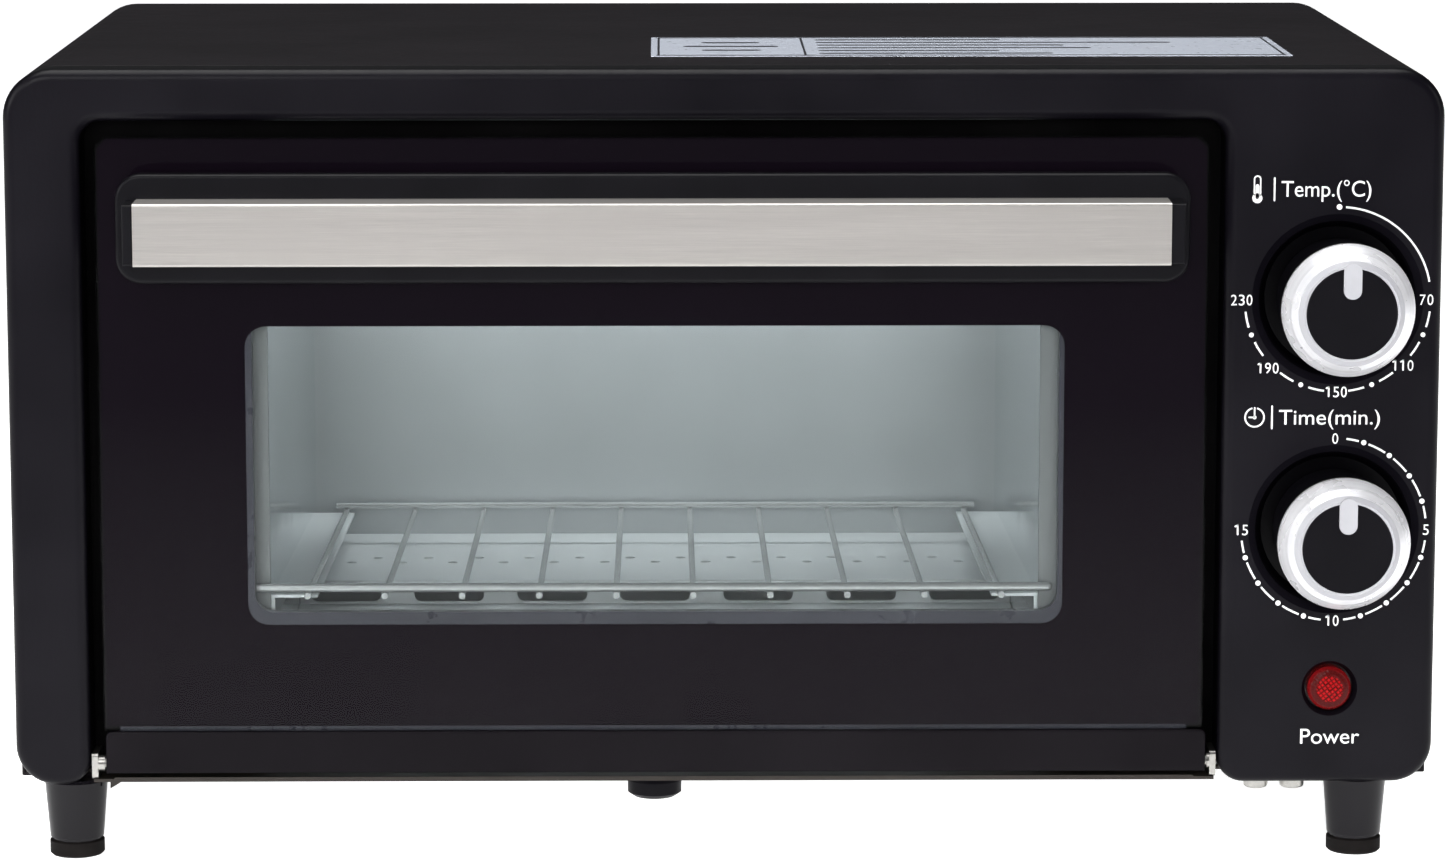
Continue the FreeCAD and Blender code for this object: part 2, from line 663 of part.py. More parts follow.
def rack_rail(side, wall, shelf, web):
    """Angle strip on the cavity's wall, parallel to the rack's wires and just below them."""
    span = ("9", "cavity_back - cavity_front - 6")
    parts = [raw_box(f"rail_shelf_{side}", shelf, span, ("-wire_radius - 1.1", "-wire_radius - 0.3")),
             raw_box(f"rail_web_{side}", web, span, ("-wire_radius - 7", "-wire_radius - 0.3"))]
    rail = fuse(f"rack_rail_{side}_body", *parts)
    return place(rail, wall, "rack_front", "rack_height", FALL)


node("rack_rail_left", rack_rail("left", "cavity_left", ("0", "12"), ("0", "sheet_wall")))
node("rack_rail_right", rack_rail("right", "cavity_right", ("-12", "0"), ("-sheet_wall", "0")))


def wire_rack():
    """Ten wires under a thick front bar, and a thin bar across their rear ends."""
    centre = "(cavity_left + cavity_right) / 2"
    wires = [raw_rod(f"rack_wire_{k}", "y", "-1.7", "rack_length", "wire_radius",
                     x=f"{centre} + {k - 4.5} * rack_pitch") for k in range(10)]
    lift = "wire_radius + bar_radius - 0.1"
    front = raw_rod("rack_front_bar", "x", "bar_left", "bar_right", "bar_radius", z=lift)
    ends = [raw_sphere(f"rack_bar_end_{side}", "bar_radius", x, lift)
            for side, x in (("left", "bar_left"), ("right", "bar_right"))]
    rear = raw_rod("rack_rear_bar", "x", f"{centre} - 4.65 * rack_pitch", f"{centre} + 4.65 * rack_pitch",
                   "wire_radius", y="rack_length - 2", z="2 * wire_radius - 0.1")
    rack = fuse("wire_rack_body", front, rear, *ends, *wires)
    return place(rack, "0", "rack_front", "rack_height", FALL)


def raw_sphere(name, radius, x, z):
    solid = doc.addObject("Part::Sphere", name)
    bind(solid, "Radius", radius)
    bind(solid, "Placement.Base.x", x)
    bind(solid, "Placement.Base.z", z)
    solid.recompute()
    return solid


node("wire_rack", wire_rack())


# ---------------------------------------------------------------------------------------------
# Door
# ---------------------------------------------------------------------------------------------
def door_glass():
    """Toughened pane with chamfered upper corners and holes for the handle screws."""
    body = doc.addObject("PartDesign::Body", "door_glass_body")
    corners = [
        ("door_left", "rail_high + 0.15"),
        ("door_right", "rail_high + 0.15"),
        ("door_right", "door_top - glass_corner"),
        ("door_right - glass_corner", "door_top"),
        ("door_left + glass_corner", "door_top"),
        ("door_left", "door_top - glass_corner"),
    ]
    sketch = outline(body, "door_glass_outline", "XZ_Plane", corners)
    pad = body.newObject("PartDesign::Pad", "door_glass_pad")
    pad.Profile = sketch
    bind(pad, "Length", "glass_wall")
    pad.Reversed = True
    doc.recompute()
    edges = [f"Edge{i}" for i, e in enumerate(pad.Shape.Edges, start=1)
             if abs(e.BoundBox.YMin) < 0.001 and abs(e.BoundBox.YMax) < 0.001]
    bevel = body.newObject("PartDesign::Chamfer", "door_glass_bevel")
    bevel.Base = (pad, edges)
    bevel.Size = 0.5
    place(body, "0", "glass_set", "0")
    doc.recompute()
    holes = [rod(f"glass_hole_{side}", "y", "-5", "15", "2.4", x=x, z="screw_height")
             for side, x in ARMS.items()]
    return cut("door_glass_drilled", body, *holes)


node("door_glass", door_glass())


def door_inner_frame():
    """Steel pan behind the glass, with a turned-back rim outside and around the window."""
    face = "glass_set + glass_wall"
    outer_x = ("door_left + 4", "door_right - 4")
    outer_z = ("30.2", "door_top - 3.5")
    plate = block("pan_plate", outer_x, (face, face + " + sheet_wall"), outer_z, 4)
    rim = block("pan_rim_outer", outer_x, (face, face + " + 4.2"), outer_z, 4)
    rim_room = block("pan_rim_room", ("door_left + 4 + sheet_wall", "door_right - 4 - sheet_wall"),
                     (face + " - 1", face + " + 6"),
                     ("30.2 + sheet_wall", "door_top - 3.5 - sheet_wall"), 3.2)
    collar = block("pan_collar_outer", ("pane_left - sheet_wall", "pane_right + sheet_wall"),
                   (face, face + " + 3"), ("pane_low - sheet_wall", "pane_high + sheet_wall"),
                   size("pane_round") + size("sheet_wall"))
    pan = fuse("pan_joined", plate, cut("pan_rim", rim, rim_room), collar)
    tools = [block("pan_window", ("pane_left", "pane_right"), (face + " - 1", face + " + 6"),
                   ("pane_low", "pane_high"), size("pane_round"))]
    tools += [rod(f"pan_hole_{side}", "y", "-5", "15", "2.4", x=x, z="screw_height")
              for side, x in ARMS.items()]
    return cut("door_inner_frame_body", pan, *tools)


node("door_inner_frame", door_inner_frame())


def door_bottom_rail():
    """Rail under the glass; its thicker lower edge holds the two hinge pins."""
    side = ("door_left + 0.5", "door_right + 0.9")
    face = box("rail_face_blank", side, ("rail_set", "glass_set + glass_wall"),
               ("rail_low", "rail_high"))
    middle = (size("rail_low") + size("rail_high")) / 2
    face = rounded("rail_face", face,
                   (1.6, lambda e: runs_along(e, "y") and e.CenterOfMass.z > middle))
    root = box("rail_root", side, ("rail_set", "6.3"), ("rail_low", "30"))
    joined = fuse("rail_joined", face, root)
    joined = rounded("rail_softened", joined, (0.6, in_plane("rail_set")))
    tools = [rod(f"rail_bore_{side}", "x", start, end, "pin_radius", y="hinge_depth", z="hinge_height")
             for side, start, end in PIN_SEATS]
    return cut("door_bottom_rail_body", joined, *tools)


node("door_bottom_rail", door_bottom_rail())
node("door_hinge_pins", group(
    "door_hinge_pins_body",
    rod("hinge_pin_left", "x", "opening_left + 0.3", "door_left + 7", "pin_radius",
        y="hinge_depth", z="hinge_height"),
    rod("hinge_pin_right", "x", "door_right - 7", "opening_right - 0.3", "pin_radius",
        y="hinge_depth", z="hinge_height")))


def hinge_bracket(side, plate_x, boss):
    """Zinc-plated bracket on the base plate, with a boss around the door's pin."""
    plate = block(f"bracket_plate_{side}", plate_x, ("hinge_depth - 2.2", "12.4"),
                  ("casing_low + sheet_wall", "hinge_height + 3"), 1, axis="x")
    knuckle = rod(f"bracket_boss_{side}", "x", boss[0], boss[1], "2.2",
                  y="hinge_depth", z="hinge_height")
    bore = rod(f"bracket_bore_{side}", "x", "opening_left - 5" if side == "left" else "door_right - 5",
               "door_left + 9" if side == "left" else "opening_right + 5", "pin_radius + 0.05",
               y="hinge_depth", z="hinge_height")
    return cut(f"hinge_bracket_{side}_body", fuse(f"bracket_joined_{side}", plate, knuckle), bore)


node("hinge_bracket_left", hinge_bracket(
    "left", ("opening_left + 0.2", "opening_left + 1.8"), ("opening_left + 0.2", "door_left + 0.1")))
node("hinge_bracket_right", hinge_bracket(
    "right", ("opening_right - 1.8", "opening_right - 0.2"),
    ("door_right + 1.3", "opening_right - 0.2")))


# ---------------------------------------------------------------------------------------------
# Handle
# ---------------------------------------------------------------------------------------------
def handle_moulding():
    """Black bar with a rounded face plate, a core for the metal strip, end caps and two arms."""
    plate = block("grip_plate", ("grip_left", "grip_right"), ("-grip_face", "-grip_face + grip_wall"),
                  ("grip_low", "grip_high"), size("grip_round"))
    plate = rounded("grip_plate_soft", plate, (1.2, in_plane("-grip_face")))
    core = box("grip_core", ("strip_left - 0.5", "strip_right + 0.5"),
               ("-strip_face + sheet_wall", "-grip_face + 1"),
               ("strip_low + sheet_wall", "strip_high - sheet_wall"))
    parts = [plate, core]
    for side, x in (("left", ("strip_left - cap_length", "strip_left - 0.1")),
                    ("right", ("strip_right + 0.1", "strip_right + cap_length + 0.9"))):
        cap = box(f"grip_cap_{side}_blank", x, ("-strip_face + 0.4", "-grip_face + 1"),
                  ("strip_low + 0.3", "strip_high - 0.3"))
        parts.append(rounded(f"grip_cap_{side}", cap, (0.5, in_plane("-strip_face + 0.4"))))
    for side, x in ARMS.items():
        parts.append(block(f"grip_arm_{side}", (f"{x} - arm_width / 2", f"{x} + arm_width / 2"),
                           ("-grip_face + grip_wall / 2", "glass_set"),
                           ("grip_low + 4", "grip_high - 3"), 2))
    bores = [rod(f"grip_bore_{side}", "y", "-7", "glass_set + 1", "2", x=x, z="screw_height")
             for side, x in ARMS.items()]
    return cut("handle_moulding_body", fuse("grip_joined", *parts), *bores)


node("handle_moulding", handle_moulding())


def handle_strip():
    """Brushed steel channel folded over the handle's core."""
    side = ("strip_left", "strip_right")
    skin = box("strip_blank", side, ("-strip_face", "-grip_face"), ("strip_low", "strip_high"))
    skin = rounded("strip_soft", skin, (0.7, lambda e: (
        runs_along(e, "x") and e.CenterOfMass.y < size("front_y") - size("strip_face") + 0.01)))
    room = box("strip_room", ("strip_left - 1", "strip_right + 1"),
               ("-strip_face + sheet_wall", "-grip_face + 1"),
               ("strip_low + sheet_wall", "strip_high - sheet_wall"))
    return cut("handle_strip_body", skin, room)


node("handle_strip", handle_strip())

handle_screws = []
for side, x in ARMS.items():
    shank = rod(f"handle_screw_{side}_shank", "y", "-6.5", "glass_set + glass_wall + sheet_wall + 1",
                "2", x=x, z="screw_height")
    head = rod(f"handle_screw_{side}_head", "y", "glass_set + glass_wall + sheet_wall",
               "glass_set + glass_wall + sheet_wall + 2", "3.8", x=x, z="screw_height")
    handle_screws.append(fuse(f"handle_screw_{side}", shank, head))
node("handle_screws", group("handle_screws_body", *handle_screws))


# ---------------------------------------------------------------------------------------------
# Controls
# ---------------------------------------------------------------------------------------------
def control_bracket():
    """Upright plate behind the panel that carries thermostat, timer and lamp."""
    plate = box("control_plate", ("opening_right + 1.4", "case_width / 2 - 3"),
                ("cavity_front - sheet_wall", "cavity_front + 0.2"),
                ("casing_low + sheet_wall", "case_top - 8"))
    tools = [rod(f"{knob}_bracket_hole", "y", "10", "20", "shaft_radius + 2.2", x="knob_x", z=height)
             for knob, height in KNOBS.items()]
    tools.append(rod("lamp_bracket_hole", "y", "10", "20", "lamp_radius + 1.9", x="lamp_x", z="lamp_z"))
    return cut("control_bracket_body", plate, *tools)


node("control_bracket", control_bracket())


def control_unit(knob, width, depth, height, z):
    """Switch housing behind the bracket, with a threaded bush around the shaft."""
    start = "cavity_front + 0.2"
    housing = block(f"{knob}_housing", (f"knob_x - {width / 2}", f"knob_x + {width / 2}"),
                    (start, f"{start} + {depth}"), (f"{z} - {height / 2}", f"{z} + {height / 2}"), 2)
    bush = rod(f"{knob}_bush", "y", "cavity_front - 5", f"{start} + 1", "shaft_radius + 2",
               x="knob_x", z=z)
    bore = rod(f"{knob}_bush_bore", "y", "0", f"{start} + 12", "shaft_radius + 0.05",
               x="knob_x", z=z)
    return cut(f"{knob}_unit_body", fuse(f"{knob}_unit_joined", housing, bush), bore)


node("thermostat", control_unit("temperature", 34, 24, 28, "temperature_z"))
node("timer", control_unit("timer", 46, 34, 44, "timer_z"))
node("timer_bell", turned(
    "timer_bell_body",
    [("0", "0"), ("2.5", "0"), ("2.5", "5.2"), ("17", "5.2"), ("19", "0.6"), ("20", "0.6"),
     ("18.2", "6.2"), ("12", "8.6"), ("0", "9.2")],
    ALONG["y"], x="knob_x", y="cavity_front + 34.2", z="timer_z"))


def knob_parts(knob, height):
    """Black knob, metal ring with its pointer, and shaft; heights are in front of the frame's face."""
    body = turned(
        f"{knob}_knob_turned",
        [("0", "-2"), ("15.6", "-2"), ("16.1", "19.4"), ("knob_face - 0.05", "19.4"),
         ("knob_face - 0.05", "knob_reach - 0.6"), ("0", "knob_reach - 0.6")],
        FACING_FRONT, x="knob_x", z=height)
    socket = rod(f"{knob}_knob_socket", "y", "-13", "3", "shaft_radius", x="knob_x", z=height)
    node(f"{knob}_knob", cut(f"{knob}_knob_body", body, socket))

    ring = turned(
        f"{knob}_ring_turned",
        [("knob_face", "19.4"), ("knob_radius - 0.3", "19.4"), ("knob_radius", "19.9"),
         ("knob_radius", "21.4"), ("knob_radius - 0.6", "22.8"), ("knob_radius - 2", "25.4"),
         ("knob_radius - 3.6", "27.5"), ("knob_face + 0.6", "knob_reach - 0.5"),
         ("knob_face", "knob_reach - 0.6")],
        FACING_FRONT, x="knob_x", z=height)
    pointer = block(f"{knob}_pointer", ("knob_x - 2.3", "knob_x + 2.3"),
                    ("-knob_reach", "-knob_reach + 0.6"),
                    (f"{height} + 3.8", f"{height} + knob_face + 1.4"), 2.25)
    node(f"{knob}_knob_ring", fuse(f"{knob}_ring_body", ring, pointer))
    node(f"{knob}_knob_shaft", rod(f"{knob}_shaft_body", "y", "-12.6", "cavity_front + 11",
                                   "shaft_radius", x="knob_x", z=height))


for knob, height in KNOBS.items():
    knob_parts(knob, height)

node("lamp_lens", turned(
    "lamp_lens_body",
    [("0", "-9"), ("lamp_radius", "-9"), ("lamp_radius", "-0.6"), ("lamp_radius - 0.6", "0.4"),
     ("lamp_radius - 1.8", "1.1"), ("0", "1.5")],
    FACING_FRONT, x="lamp_x", z="lamp_z"))
node("lamp_holder", cut(
    "lamp_holder_body",
    rod("lamp_holder_tube", "y", "4.2", "cavity_front + 12", "lamp_radius + 1.6", x="lamp_x", z="lamp_z"),
    rod("lamp_holder_bore", "y", "4", "9.1", "lamp_radius + 0.05", x="lamp_x", z="lamp_z")))
node("terminal_block", cut(
    "terminal_block_body",
    box("terminal_blank", ("cord_x - 24", "cord_x + 8"), ("case_depth - 32", "case_depth - 20"),
        ("casing_low + sheet_wall", "casing_low + 14")),
    *[rod(f"terminal_hole_{k}", "z", "casing_low + 6", "casing_low + 20", "2",
          x=f"cord_x - 18 + {10 * k}", y="case_depth - 26") for k in range(3)]))


# ---------------------------------------------------------------------------------------------
# Feet
# ---------------------------------------------------------------------------------------------
for foot, (line, depth) in FEET.items():
    leg = turned(
        f"leg_{foot}_turned",
        [("0", "pad_height + 2"), ("5.1", "pad_height + 2"), ("5.1", "pad_height"),
         ("foot_tip - 0.7", "pad_height"), ("foot_tip - 0.7", "pad_height + 0.7"),
         ("foot_tip", "pad_height + 0.7"), ("foot_top - 0.1", "case_foot - 1.8"),
         ("foot_top", "case_foot - 0.8"), ("foot_top - 0.5", "case_foot"), ("0", "case_foot")],
        x=line, y=depth)
    hole = rod(f"leg_{foot}_hole", "z", "10", "30", "1.5", x=line, y=screw_depth(depth))
    node(f"leg_{foot}", cut(f"leg_{foot}_body", leg, hole))
    node(f"foot_pad_{foot}", turned(
        f"foot_pad_{foot}_body",
        [("0", "0"), ("foot_tip - 0.5", "0"), ("foot_tip + 0.1", "0.6"),
         ("foot_tip + 0.1", "pad_height - 0.4"), ("foot_tip - 0.4", "pad_height"),
         ("5", "pad_height"), ("5", "pad_height + 1.9"), ("0", "pad_height + 1.9")],
        x=line, y=depth))


def pan_screw(name, axis, seat, away, x="0", y="0", z="0", length=6, head=3.5, rise=2.2, shank=1.8):
    """Pan-head screw: shank inward from its seat, slightly domed head outward (away is + or -)."""
    inward = "-" if away == "+" else "+"
    ends = {"+": lambda a, b: (a, b), "-": lambda a, b: (b, a)}
    start, end = ends[inward](seat, f"{seat} {inward} {length}")
    stem = rod(name + "_shank", axis, start, end, str(shank), x, y, z)
    start, end = ends[away](seat, f"{seat} {away} {rise}")
    top = rod(name + "_head", axis, start, end, str(head), x, y, z)
    crown = max if away == "+" else min
    level = crown(getattr(e.CenterOfMass, axis) for e in top.Shape.Edges)
    top = rounded(name + "_crown", top, (0.9, lambda e: (
        e.Curve.TypeId == "Part::GeomCircle" and abs(getattr(e.CenterOfMass, axis) - level) < 0.01)))
    return fuse(name, stem, top)


leg_screws = []
for foot, (line, depth) in FEET.items():
    leg_screws.append(pan_screw(f"leg_screw_{foot}", "z", "casing_low + sheet_wall", "+",
                                x=line, y=screw_depth(depth), length=8, head=2.8, shank=1.5))
node("leg_screws", group("leg_screws_body", *leg_screws))

rear_screws = []
for k, (x, z) in enumerate(REAR_SCREWS):
    rear_screws.append(pan_screw(f"rear_screw_{k}", "y", "case_depth - 0.4", "+", x=x, z=z, length=0.8,
                                 rise=1.8))
node("rear_screws", group("rear_screws_body", *rear_screws))

panel_screws = [pan_screw(f"panel_screw_{k}", "z", "case_foot", "-", x=x, y="7", length=1.2, head=3.2,
                          rise=2.4) for k, x in enumerate(PANEL_SCREWS)]
node("panel_screws", group("panel_screws_body", *panel_screws))


# ---------------------------------------------------------------------------------------------
# Crumb tray
# ---------------------------------------------------------------------------------------------
def crumb_tray():
    """Drop-down floor: plate, upstanding rim, tongue for the knob and two knuckles on a pin."""
    side = ("tray_left", "tray_right")
    plate = box("tray_plate", side, ("tray_front", "tray_back - 1"), ("tray_low", "tray_low + sheet_wall"))
    tongue = block("tray_tongue", ("tray_knob_x - 9", "tray_knob_x + 9"),
                   ("tray_knob_depth - 7", "tray_front + 4"), ("tray_low", "tray_low + sheet_wall"), 3,
                   axis="z")
    rim = box("tray_rim_blank", ("tray_left + 5", "tray_right - 5"), ("tray_front + 6", "tray_back - 11"),
              ("tray_low", "tray_low + 4"))
    rim_room = box("tray_rim_room", ("tray_left + 5.8", "tray_right - 5.8"),
                   ("tray_front + 6.8", "tray_back - 11.8"), ("tray_low - 1", "tray_low + 6"))
    parts = [plate, tongue, cut("tray_rim", rim, rim_room)]
    for k, start in enumerate(("tray_left + 14", "tray_right - 30")):
        parts.append(rod(f"tray_knuckle_{k}", "x", start, f"{start} + 16", "1.9",
                         y="tray_back", z="tray_pivot"))
    bore = rod("tray_bore", "x", "tray_left - 8", "tray_right + 8", "1.2", y="tray_back", z="tray_pivot")
    return cut("crumb_tray_body", fuse("tray_joined", *parts), bore)


node("crumb_tray", crumb_tray())
node("crumb_tray_pin", rod("crumb_tray_pin_body", "x", "tray_left - 5.6", "tray_right + 5.6", "1.2",
                           y="tray_back", z="tray_pivot"))
node("crumb_tray_knob", turned(
    "crumb_tray_knob_body",
    [("0", "14.9"), ("tray_knob_radius - 1.6", "14.9"), ("tray_knob_radius", "16"),
     ("tray_knob_radius", "19.2"), ("tray_knob_radius - 0.8", "tray_low"), ("0", "tray_low")],
    x="tray_knob_x", y="tray_knob_depth"))

node("top_label", box("top_label_body", ("label_left", "label_right"), ("label_front", "label_back"),
                      ("case_top", "case_top + 0.15")))


# ---------------------------------------------------------------------------------------------
# Check and write
# ---------------------------------------------------------------------------------------------
doc.recompute()
failed = [item.Name for item in doc.Objects if "Invalid" in item.State or "Error" in item.State]
if failed:
    raise RuntimeError("objects that did not compute: " + ", ".join(failed))
os.makedirs("parts", exist_ok=True)
for name, piece in NODES.items():
    if piece.Shape.isNull() or not piece.Shape.isValid() or piece.Shape.Volume <= 0:
        raise RuntimeError("bad shape: " + name)
    piece.Shape.exportStep(f"parts/{name}.step")
print(len(NODES), "sub-parts written")
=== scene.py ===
"""Looks of the toaster oven: materials, printed marks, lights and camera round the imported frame."""
import json
import math

import bmesh
import bpy
from mathutils import Euler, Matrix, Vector


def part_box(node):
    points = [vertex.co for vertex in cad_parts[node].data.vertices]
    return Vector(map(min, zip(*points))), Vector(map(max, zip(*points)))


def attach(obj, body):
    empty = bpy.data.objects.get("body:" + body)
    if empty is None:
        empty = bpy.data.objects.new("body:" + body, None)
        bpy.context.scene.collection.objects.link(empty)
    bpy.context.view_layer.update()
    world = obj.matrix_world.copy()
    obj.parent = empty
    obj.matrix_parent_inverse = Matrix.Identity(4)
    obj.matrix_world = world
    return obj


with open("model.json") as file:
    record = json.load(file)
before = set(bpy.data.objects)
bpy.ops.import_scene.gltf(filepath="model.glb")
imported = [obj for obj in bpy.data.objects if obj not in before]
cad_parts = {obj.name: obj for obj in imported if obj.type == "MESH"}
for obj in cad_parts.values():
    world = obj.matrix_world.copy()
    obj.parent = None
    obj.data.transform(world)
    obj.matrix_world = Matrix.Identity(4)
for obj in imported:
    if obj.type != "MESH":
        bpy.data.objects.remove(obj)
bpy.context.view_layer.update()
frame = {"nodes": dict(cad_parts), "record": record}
nodes = frame["nodes"]
MM = 0.001
scene = bpy.context.scene


# ---------------------------------------------------------------------------------------------
# Materials
# ---------------------------------------------------------------------------------------------
def by_identifier(sockets, identifier):
    return next(socket for socket in sockets if socket.identifier == identifier)


def times(base, factor, more=0.0):
    """Colour with each channel multiplied by factor, with more added, and held at 1."""
    return tuple(min(1, channel * factor + more) for channel in base)


class Look:
    """A Principled material built from a few procedural layers; lengths are in millimetres."""

    def __init__(self, name, **plain):
        self.mat = bpy.data.materials.new(name)
        self.mat.use_nodes = True
        self.tree = self.mat.node_tree
        self.shader = self.tree.nodes["Principled BSDF"]
        self.output = self.tree.nodes["Material Output"]
        self.plain(**plain)
        place = self.add("ShaderNodeTexCoord")
        scale = self.add("ShaderNodeMapping")
        scale.inputs["Scale"].default_value = (1 / MM, 1 / MM, 1 / MM)
        self.join(place.outputs["Object"], scale.inputs["Vector"])
        self.mm = scale.outputs["Vector"]

    def plain(self, **values):
        """Sets shader inputs that are the same all over; an underscore stands for a space."""
        for key, value in values.items():
            self.shader.inputs[key.replace("_", " ")].default_value = value

    def add(self, kind, **settings):
        made = self.tree.nodes.new(kind)
        for key, value in settings.items():
            setattr(made, key, value)
        return made

    def join(self, source, target):
        self.tree.links.new(source, target)

    def axis(self, letter):
        """One coordinate, in millimetres."""
        split = self.add("ShaderNodeSeparateXYZ")
        self.join(self.mm, split.inputs[0])
        return split.outputs[letter]

    def stretched(self, x, y, z):
        """Coordinates whose features come out x, y and z times as long."""
        mapping = self.add("ShaderNodeMapping")
        mapping.inputs["Scale"].default_value = (1 / x, 1 / y, 1 / z)
        self.join(self.mm, mapping.inputs["Vector"])
        return mapping.outputs["Vector"]

    def noise(self, size, detail=3, rough=0.55, along=None):
        """Cloudy pattern with features about size mm across."""
        made = self.add("ShaderNodeTexNoise")
        made.inputs["Scale"].default_value = 1 / size
        made.inputs["Detail"].default_value = detail
        made.inputs["Roughness"].default_value = rough
        self.join(along or self.mm, made.inputs["Vector"])
        return made.outputs["Fac"]

    def cells(self, size):
        """Distance from the middle of crystals about size mm across."""
        made = self.add("ShaderNodeTexVoronoi")
        made.inputs["Scale"].default_value = 1 / size
        self.join(self.mm, made.inputs["Vector"])
        return made.outputs["Distance"]

    def maths(self, operation, a, b=None, clamp=False):
        made = self.add("ShaderNodeMath", operation=operation, use_clamp=clamp)
        for socket, value in zip(made.inputs, (a, b)):
            if value is None:
                continue
            if isinstance(value, (int, float)):
                socket.default_value = value
            else:
                self.join(value, socket)
        return made.outputs[0]

    def spread(self, source, low, high, start=0.0, end=1.0):
        """Source remapped from low..high to start..end, held at the ends."""
        made = self.add("ShaderNodeMapRange")
        for key, value in zip(("From Min", "From Max", "To Min", "To Max"), (low, high, start, end)):
            made.inputs[key].default_value = value
        self.join(source, made.inputs["Value"])
        return made.outputs[0]

    def blend(self, share, first, second):
        """Colour between first and second; either may be a colour or a socket."""
        made = self.add("ShaderNodeMix", data_type="RGBA")
        self.join(share, made.inputs["Factor"])
        for identifier, value in (("A_Color", first), ("B_Color", second)):
            socket = by_identifier(made.inputs, identifier)
            if isinstance(value, tuple):
                socket.default_value = (*value, 1)
            else:
                self.join(value, socket)
        return by_identifier(made.outputs, "Result_Color")

    def colour(self, source):
        self.join(source, self.shader.inputs["Base Color"])

    def roughness(self, source, low, high):
        """Roughness from low to high over the middle of a pattern's range."""
        self.join(self.spread(source, 0.3, 0.7, low, high), self.shader.inputs["Roughness"])

    def bump(self, *layers):
        """Bumps chained from (height, depth in mm) pairs."""
        normal = None
        for height, depth in layers:
            made = self.add("ShaderNodeBump")
            made.inputs["Distance"].default_value = depth * MM
            self.join(height, made.inputs["Height"])
            if normal is not None:
                self.join(normal, made.inputs["Normal"])
            normal = made.outputs["Normal"]
        self.join(normal, self.shader.inputs["Normal"])

    def edges(self):
        """1 along sharp edges and 0 on faces, broken up as real wear is."""
        wear_width = 0.8
        bevel = self.add("ShaderNodeBevel", samples=4)
        bevel.inputs["Radius"].default_value = wear_width * MM
        geometry = self.add("ShaderNodeNewGeometry")
        dot = self.add("ShaderNodeVectorMath", operation="DOT_PRODUCT")
        self.join(bevel.outputs["Normal"], dot.inputs[0])
        self.join(geometry.outputs["Normal"], dot.inputs[1])
        bent = self.spread(dot.outputs["Value"], 0.99, 0.8)
        return self.maths("MULTIPLY", bent, self.spread(self.noise(6), 0.45, 0.6), clamp=True)


def painted(name, base, rough, grain, depth, shine, streak=None, face=None):
    """Powder-coated or painted sheet: fine orange-peel, faint clouding of tone and gloss.

    Grain and depth are the size and height of the peel in mm. Streak stretches a second texture
    along x, y and z. A face depth in mm paints shade into recesses behind that plane: the coat
    there is darkened where shade falls.
    """
    recess_start, recess_end = 0.6, 3.0
    look = Look(name, IOR=1.5, Specular_IOR_Level=shine)
    peel = look.noise(grain, 2)
    clouds = look.noise(38, 3)
    toned = look.blend(look.spread(clouds, 0.3, 0.7), times(base, 0.86), times(base, 1.22, 0.0015))
    if face is not None:
        # painted shade: behind the face the coat darkens to a fifth, standing in for the shade in recesses
        painted_recess_shade = look.spread(look.axis("Y"), face + recess_start, face + recess_end)
        toned = look.blend(painted_recess_shade, toned, times(base, 0.2))
    look.colour(toned)
    look.roughness(look.noise(9, 4), rough - 0.04, rough + 0.05)
    layers = [(peel, depth), (look.noise(2.6, 2), depth * 1.2)]
    if streak:
        layers.append((look.noise(1.0, 2, along=look.stretched(*streak)), depth))
    look.bump(*layers)
    return look.mat


def brushed(name, base, rough, along, contrast, depth, metal=1.0, blotch=0.1, fine=0.28):
    """Metal with drawn grain along one direction, given as stretches of x, y and z.

    Fine is the grain's width and depth its height in mm. Contrast and blotch are shares of the
    base colour.
    """
    look = Look(name, Metallic=metal)
    grain = look.noise(fine, 3, 0.7, along=look.stretched(*along))
    broad = look.noise(fine * 5, 2, 0.6, along=look.stretched(*along))
    clouds = look.noise(24, 3)
    tone = look.maths("ADD", look.maths("MULTIPLY", grain, 0.6), look.maths("MULTIPLY", broad, 0.4))
    first = look.blend(look.spread(tone, 0.35, 0.65), times(base, 1 - contrast), times(base, 1 + contrast))
    look.colour(look.blend(look.spread(clouds, 0.62, 0.38, 0, 0.6), first, times(base, 1 - blotch)))
    look.roughness(tone, rough - 0.05, rough + 0.07)
    look.bump((grain, depth))
    return look.mat


def turned_metal(name, base, rough, x, heights, face):
    """Plated rings round the dials' centres, which share x and have the two heights, in mm.

    Outside the radius face the ring is a bright bevel, and inside it a satin face.
    """
    look = Look(name)
    across = look.maths("SUBTRACT", look.axis("X"), x)
    above = (look.maths("SUBTRACT", look.axis("Z"), height) for height in heights)
    low, high = (look.maths("ABSOLUTE", height) for height in above)
    up = look.maths("MINIMUM", low, high)
    square = look.maths("ADD", look.maths("MULTIPLY", across, across), look.maths("MULTIPLY", up, up))
    radial = look.maths("SQRT", square)
    rings = look.add("ShaderNodeTexNoise", noise_dimensions="1D")
    rings.inputs["Scale"].default_value = 2.2
    rings.inputs["Detail"].default_value = 3
    look.join(radial, rings.inputs["W"])
    lathe = rings.outputs[0]
    dull = look.noise(7, 2)
    first = look.blend(look.spread(lathe, 0.35, 0.65), times(base, 0.96), times(base, 1.03))
    bevel = look.spread(radial, face - 0.1, face + 0.1)
    worn = look.blend(look.spread(dull, 0.45, 0.75, 0, 0.3), first, times(base, 0.9))
    satin = look.blend(look.spread(dull, 0.35, 0.65), (0.37, 0.37, 0.395), (0.39, 0.39, 0.415))
    look.colour(look.blend(bevel, satin, worn))
    look.join(look.spread(bevel, 0, 1, 0.1, 0.45), look.shader.inputs["Metallic"])
    sheen = look.spread(dull, 0.3, 0.7, rough - 0.02, rough + 0.04)
    satin_more = look.spread(bevel, 0, 1, 0.18, 0)
    look.join(look.maths("ADD", sheen, satin_more), look.shader.inputs["Roughness"])
    look.bump((lathe, 0.002))
    return look.mat


